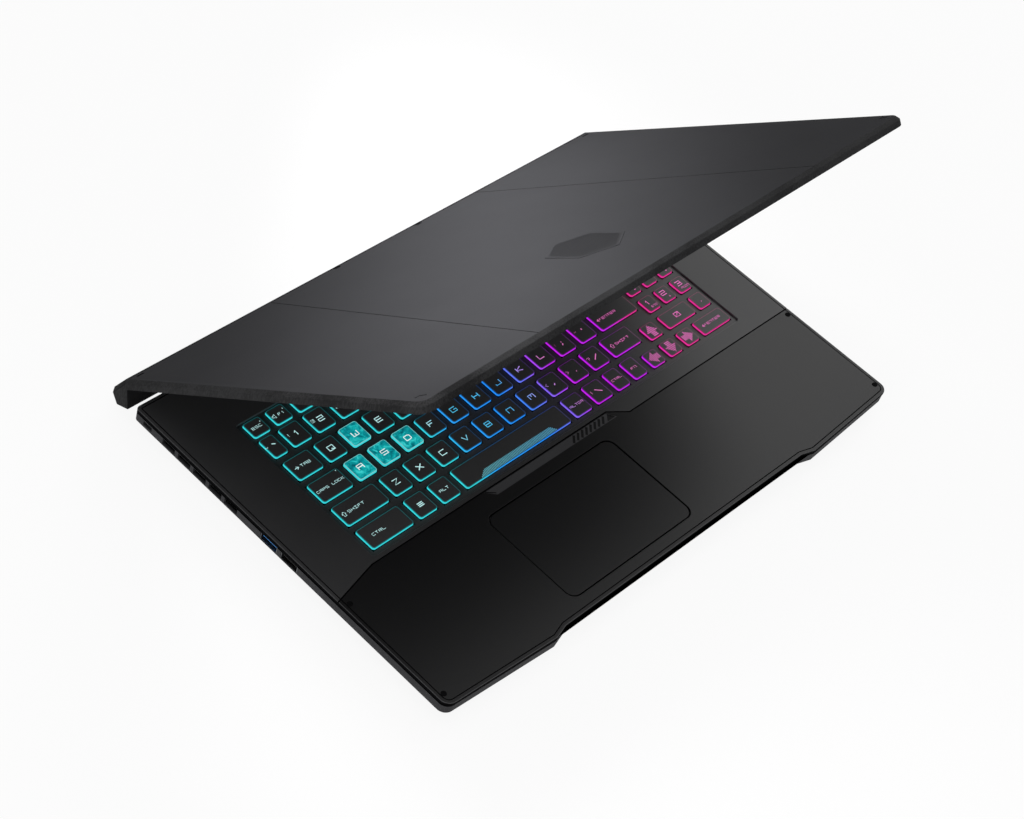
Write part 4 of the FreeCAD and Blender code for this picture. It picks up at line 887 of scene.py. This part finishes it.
def touchPlate():
    low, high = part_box("touchpad")
    play = Vector((touch["play"] * mm, touch["play"] * mm, 0))
    low = Vector((*low.xy, high.z - touch["thick"] * mm))
    plate = roundedBlock(low + play, high - play, touch["corner"], cornerSteps)
    bevelled(plate, atHeight(high.z), touch["softEdge"])
    smooth(plate)
    settle(plate, "touchPlate", "touchpad", [touchSheet], ["touchpad"])


# Bumpers and feet: soft edges in mm, and a foot's corner radius as a share of its narrower side
pads = dict(sides=32, bumperEdge=0.3, footEdge=0.4, footCorner=0.49)


def palmBumpers():
    bumpers = []
    for low, high in solidsOf("palm_bumpers"):
        bumper = drum(pads["sides"], (high.x - low.x) / 2, high.z - low.z, (low + high) / 2)
        bevelled(bumper, atHeight(high.z), pads["bumperEdge"], segments=3)
        smooth(bumper)
        bumpers.append(bumper)
    settle(joined(bumpers), "palmBumpers", "base", [rubber], ["palm_bumpers"])


def rubberFeet():
    feet = []
    for low, high in solidsOf("rubber_feet"):
        radius = min(high.x - low.x, high.y - low.y) * pads["footCorner"] / mm
        foot = roundedBlock(low, high, radius, cornerSteps)
        bevelled(foot, atHeight(low.z), pads["footEdge"], segments=3)
        smooth(foot)
        feet.append(foot)
    settle(joined(feet), "rubberFeet", "base", [rubber], ["rubber_feet"])


touchPlate()
palmBumpers()
rubberFeet()
print("touchpad, bumpers and feet modelled")

# Finishes of the pieces that keep their construction shape
slotFinish = {
    "case_shell": caseAbs, "deck_skin": deckPaint, "lid_skin": lidPaint, "key_frame": fieldPlastic,
    "key_cap": capLacquer, "clear_key_cap": resin, "touch_plate": touchSheet, "bezel_plastic": bezelAbs,
    "rubber": rubber,
    # Etched glass: black with a blurred reflection
    "screen_glass": grained("etchedScreenGlass", "#08080a", "#060607", 0.28, 0.3, 0.03),
    # Rolled steel: bright grey with lines along the rolling
    "steel_plate": grained("rolledSteel", "#8c8e90", "#7c7e80", 0.35, 0.4, 0.1, 1.0, stretch=(0.1, 1, 1)),
    # Blackened and black-oxide steel: dark with a dull metal glint
    "steel_screw": grained("blackenedSteel", "#2a2a2c", "#202022", 0.4, 0.3, 0.1, 0.8),
    "hinge_steel": grained("blackOxideSteel", "#2c2d30", "#242528", 0.45, 0.3, 0.2, 0.8),
    # Tin-plated steel: grey metal with soft reflections
    "port_steel": grained("tinPlatedSteel", "#77797c", "#66686b", 0.3, 0.5, 0.06, 1.0),
    # Moulded ABS and glass-filled plastic: plain black, slightly dull
    "inner_plastic": grained("mouldedBlackAbs", "#1a1a1b", "#131314", 0.6, 0.6, 0.2),
    "fan_plastic": grained("glassFilledPlastic", "#18191a", "#101112", 0.5, 0.5, 0.2),
    # Acrylic: milky white and glossy
    "light_guide": grained("acrylicLightGuide", "#cfd8da", "#bcc6c8", 0.2, 2.0, 0.05),
    # Silicone: warm milky white with a soft sheen
    "silicone": grained("milkySilicone", "#c9c7c0", "#b9b7b0", 0.5, 0.4, 0.1),
    # Solder mask: deep green with a lacquer's sheen
    "circuit_board": grained("solderMaskBoard", "#123021", "#0a1d14", 0.4, 1.2, 0.2),
    # Moulded epoxy: charcoal and matte
    "chip": grained("mouldedEpoxy", "#1c1d1f", "#131416", 0.5, 0.4, 0.15),
    # Drawn copper: orange metal with lines along the pipe
    "copper": grained("drawnCopper", "#b5714c", "#9c5c3c", 0.32, 0.4, 0.06, 1.0, stretch=(0.1, 1, 1)),
    # Stamped aluminium: pale metal, half matte
    "aluminium_fin": grained("stampedAluminium", "#a4a6a8", "#8e9092", 0.38, 0.4, 0.08, 1.0),
    # Laminated foil: dark grey, a half gloss with broad creases
    "battery_foil": grained("laminatedFoil", "#2d2e31", "#1f2023", 0.35, 3.0, 0.1),
}
for part in frame["record"]["subparts"]:
    carried = nodes[part["node"]]
    carried.data.materials.clear()
    carried.data.materials.append(slotFinish[part["material_slot"]])
print("finishes given to the carried-over nodes")

# USB-A sockets, in mm: a folded shell and a tongue with contacts under it
usb = dict(wall=0.4, corner=0.7, leastTall=4.0, sideGap=1.0, roof=0.9, thick=1.9, setback=1.0,
           tongueEdge=0.15, contacts=4, contactHalf=0.5, contactSetback=0.6, contactProud=0.06,
           contactSunk=0.1)
# Moulded nylon: a clear blue, half matte, painted lighter than its own blue against the shade inside the socket
tongueBlue = grained("blueMouldedNylon", "#5aa8f8", "#4a94e0", 0.5, 0.6, 0.1)
# Gold plating: thin yellow metal lines
contactGold = grained("goldPlatedContact", "#d0a94e", "#b98f3a", 0.3, 0.4, 0.05, 1.0)


def usbSocket(low, high, tongueFinish):
    size = {name: value * mm for name, value in usb.items() if name != "contacts"}
    way = math.copysign(1, low.x)
    mouth = max(abs(low.x), abs(high.x)) * way
    depth = high.x - low.x - size["wall"]
    shell = block(low, high)
    bevelled(shell, lambda a, b: near(a.y, b.y) and near(a.z, b.z), usb["corner"], segments=3)
    pick(shell, faces=lambda c, n: n.x * way > upward)
    bpy.ops.mesh.inset(thickness=size["wall"])
    bpy.ops.mesh.extrude_region_move(TRANSFORM_OT_translate={"value": (-way * depth, 0, 0)})
    done()
    smooth(shell)
    left, right = sorted((mouth - way * size["setback"], mouth - way * depth))
    front, rear = low.y + size["sideGap"], high.y - size["sideGap"]
    roof = high.z - size["roof"]
    under = roof - size["thick"]
    tongue = block((left, front, under), (right, rear, roof))
    softenSharp(tongue, usb["tongueEdge"])
    pieces, finishes = [shell, tongue], [slotFinish["port_steel"], tongueFinish]
    pitch = (rear - front) / usb["contacts"]
    for i in range(usb["contacts"]):
        y = front + (i + 0.5) * pitch
        pieces.append(block(
            (left + size["contactSetback"], y - size["contactHalf"], under - size["contactProud"]),
            (right, y + size["contactHalf"], under + size["contactSunk"])))
        finishes.append(contactGold)
    for piece, finish in zip(pieces, finishes):
        piece.data.materials.append(finish)
    return joined(pieces)


def usbPorts():
    shells = [box for box in solidsOf("usb_ports") if box[1].z - box[0].z > usb["leastTall"] * mm]
    rearLeft = max((box for box in shells if box[0].x < 0), key=lambda box: box[0].y)
    finishes = [tongueBlue if box is rearLeft else slotFinish["inner_plastic"] for box in shells]
    ports = joined([usbSocket(*box, finish) for box, finish in zip(shells, finishes)])
    settle(ports, "usbPorts", "base", [], ["usb_ports"])


# Bottom screws, in mm: a flat head with a cross recess on a plain shank
screw = dict(headSides=28, headHeight=0.9, headEdge=0.25, shankSides=16, shankRadius=1.2, shankFrom=1.0,
             armHalf=1.3, slotHalf=0.275, recess=0.6)


def bottomScrews():
    boxes = solidsOf("bottom_screws")
    low, high = boxes[0]
    tall, start = screw["headHeight"] * mm, screw["shankFrom"] * mm
    head = drum(screw["headSides"], (high.x - low.x) / 2, tall, (0, 0, low.z + tall / 2))
    bevelled(head, atHeight(low.z), screw["headEdge"])
    arm, slot = screw["armHalf"] * mm, screw["slotHalf"] * mm
    cut(head, [block((-x, -y, low.z - over * mm), (x, y, low.z + screw["recess"] * mm))
               for x, y in ((arm, slot), (slot, arm))])
    shank = drum(screw["shankSides"], screw["shankRadius"] * mm, high.z - low.z - start,
                 (0, 0, (low.z + high.z + start) / 2))
    one = joined([head, shank])
    smooth(one)
    screws = []
    for a, b in boxes:
        twin = copyOf(one)
        for v in twin.data.vertices:
            v.co += Vector((*((a + b) / 2).xy, 0))
        screws.append(twin)
    bpy.data.objects.remove(one)
    settle(joined(screws), "bottomScrews", "base", [slotFinish["steel_screw"]],
           ["bottom_screws"])


# Bottom cover: its broken upper edge and how deep an edge still counts as outside, in mm
tub = dict(brokenEdge=0.8, outside=1.0, brokenTilt=(0.2, 0.9))


def bottomCover():
    # The CAD tub, merged, with its upper edge broken and painted black: painted shade in the joint under the deck
    shell = merged("bottom_cover")
    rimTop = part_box("bottom_cover")[1].z
    ring = deckRing()

    def onOutside(a, b):
        return atHeight(rimTop)(a, b) and not any(inside(p, ring, tub["outside"] * mm) for p in (a, b))
    bevelled(shell, onOutside, tub["brokenEdge"], segments=1)
    smooth(shell)
    settle(shell, "bottomCover", "base", [caseAbs, paintedShadeBlack], ["bottom_cover"])
    for f in shell.data.polygons:
        # Painted shade: the broken upper edge is flat black
        tilted = tub["brokenTilt"][0] < f.normal.z < tub["brokenTilt"][1]
        f.material_index = 1 if tilted and f.center.z > rimTop - mm else 0


bottomCover()
usbPorts()
bottomScrews()
print("bottom cover, sockets and screws modelled")

# Camera as in the photograph, in metres, degrees and pixels, with its sensor in mm
camera = dict(place=(-0.8057, -0.4550, 0.9363), heading=57.468, dip=48.40, roll=17.13,
              focalPixels=2193.1, middle=(402.5, 498.0), imageSize=(1024, 819), sensorWidth=36)


def photoCamera():
    made = bpy.data.cameras.new("photoCamera")
    viewer = linked("photoCamera", made)
    heading, dip = math.radians(camera["heading"]), math.radians(camera["dip"])
    ahead = Vector((math.sin(heading) * math.cos(dip), math.cos(heading) * math.cos(dip), -math.sin(dip)))
    roll = Quaternion((0, 0, 1), math.radians(camera["roll"]))
    viewer.location = camera["place"]
    viewer.rotation_mode = "QUATERNION"
    viewer.rotation_quaternion = ahead.to_track_quat("-Z", "Y") @ roll
    wide, tall = camera["imageSize"]
    made.sensor_width = camera["sensorWidth"]
    made.lens = camera["focalPixels"] / wide * made.sensor_width
    made.shift_x = (wide / 2 - camera["middle"][0]) / wide
    made.shift_y = (camera["middle"][1] - tall / 2) / wide
    bpy.context.scene.camera = viewer


# Lamps, in metres, watts and degrees
lamps = dict(
    overhead=dict(place=(-0.3, -0.2, 1.9), aim=(0, 0, 0), size=1.6, power=7),
    rightFill=dict(place=(1.5, 0.5, 1.35), aim=(0.1, 0, 0.05), size=1.0, power=7),
    leftFill=dict(place=(-1.5, -0.25, 0.4), aim=(-0.2, -0.05, 0.01), size=0.5, power=7),
    behindLid=dict(size=0.5, width=0.05, spread=56, power=0.7, away=0.35, fromHinge=0.125, slant=0.96),
)
# The room: the world's share of the light, and how white the floor is to the lens
room = dict(fill=0.45, floorSize=8, floorWhite=0.9)


def softLight(name, place, turn):
    lamp = bpy.data.lights.new(name, "AREA")
    lamp.shape = "DISK"
    lamp.size = lamps[name]["size"]
    lamp.energy = lamps[name]["power"]
    holder = linked(name, lamp)
    holder.location = place
    holder.visible_camera = False
    holder.rotation_mode = "QUATERNION"
    holder.rotation_quaternion = turn
    return holder


def aimedLight(name):
    place, aim = Vector(lamps[name]["place"]), Vector(lamps[name]["aim"])
    softLight(name, place, (aim - place).to_track_quat("-Z", "Y"))


def stripLight(name):
    # A gridded strip box behind the lid, turned along its diagonal: a soft band of light on the cover
    strip = lamps[name]
    swing = Matrix.Rotation(lidAngle, 3, "X")
    outward = swing @ Vector((0, 0, 1))
    along = (swing @ Vector((1, strip["slant"], 0))).normalized()
    turn = Matrix((along, outward.cross(along), outward)).transposed().to_quaternion()
    place = hinge + swing @ Vector((0, -strip["fromHinge"], 0)) + outward * strip["away"]
    holder = softLight(name, place, turn)
    holder.visible_glossy = False
    holder.data.shape = "RECTANGLE"
    holder.data.size_y = strip["width"]
    holder.data.spread = math.radians(strip["spread"])


def whiteToLens(tree):
    # 1 for rays that see the background straight, in a reflection or through glass
    path = node(tree, "LightPath").outputs
    first = node(tree, "Math", {0: path["Is Camera Ray"], 1: path["Is Glossy Ray"]}, operation="MAXIMUM")
    return node(tree, "Math", {0: first, 1: path["Is Transmission Ray"]}, operation="MAXIMUM")


def studio():
    bpy.context.scene.view_settings.view_transform = "Standard"
    world = bpy.data.worlds.new("paleRoom")
    world.use_nodes = True
    bpy.context.scene.world = world
    tree = world.node_tree
    shine = node(tree, "MapRange", {"Value": whiteToLens(tree)}, {"To Min": room["fill"], "To Max": 1.0})
    node(tree, tree.nodes["Background"], {"Strength": shine}, {"Color": (1, 1, 1, 1)})
    bpy.ops.mesh.primitive_plane_add(size=room["floorSize"])
    floor = added()
    floor.name = "paleFloor"
    # Matte white paint, which the lens sees as nearly even white with a faint shadow
    material, tree, shader = newMaterial("paleFloorPaint", "#f4f4f4", 0.9, specular=0.0)
    glow = node(tree, "Emission", values={"Color": (1, 1, 1, 1), "Strength": 1.0})
    share = node(tree, "Math", {0: whiteToLens(tree)}, {1: room["floorWhite"]}, operation="MULTIPLY")
    both = node(tree, "MixShader", {0: share, 1: shader, 2: glow})
    node(tree, tree.nodes["Material Output"], {"Surface": both})
    floor.data.materials.append(material)
    aimedLight("overhead")
    stripLight("behindLid")
    aimedLight("rightFill")
    aimedLight("leftFill")
    photoCamera()


studio()
print("studio set")
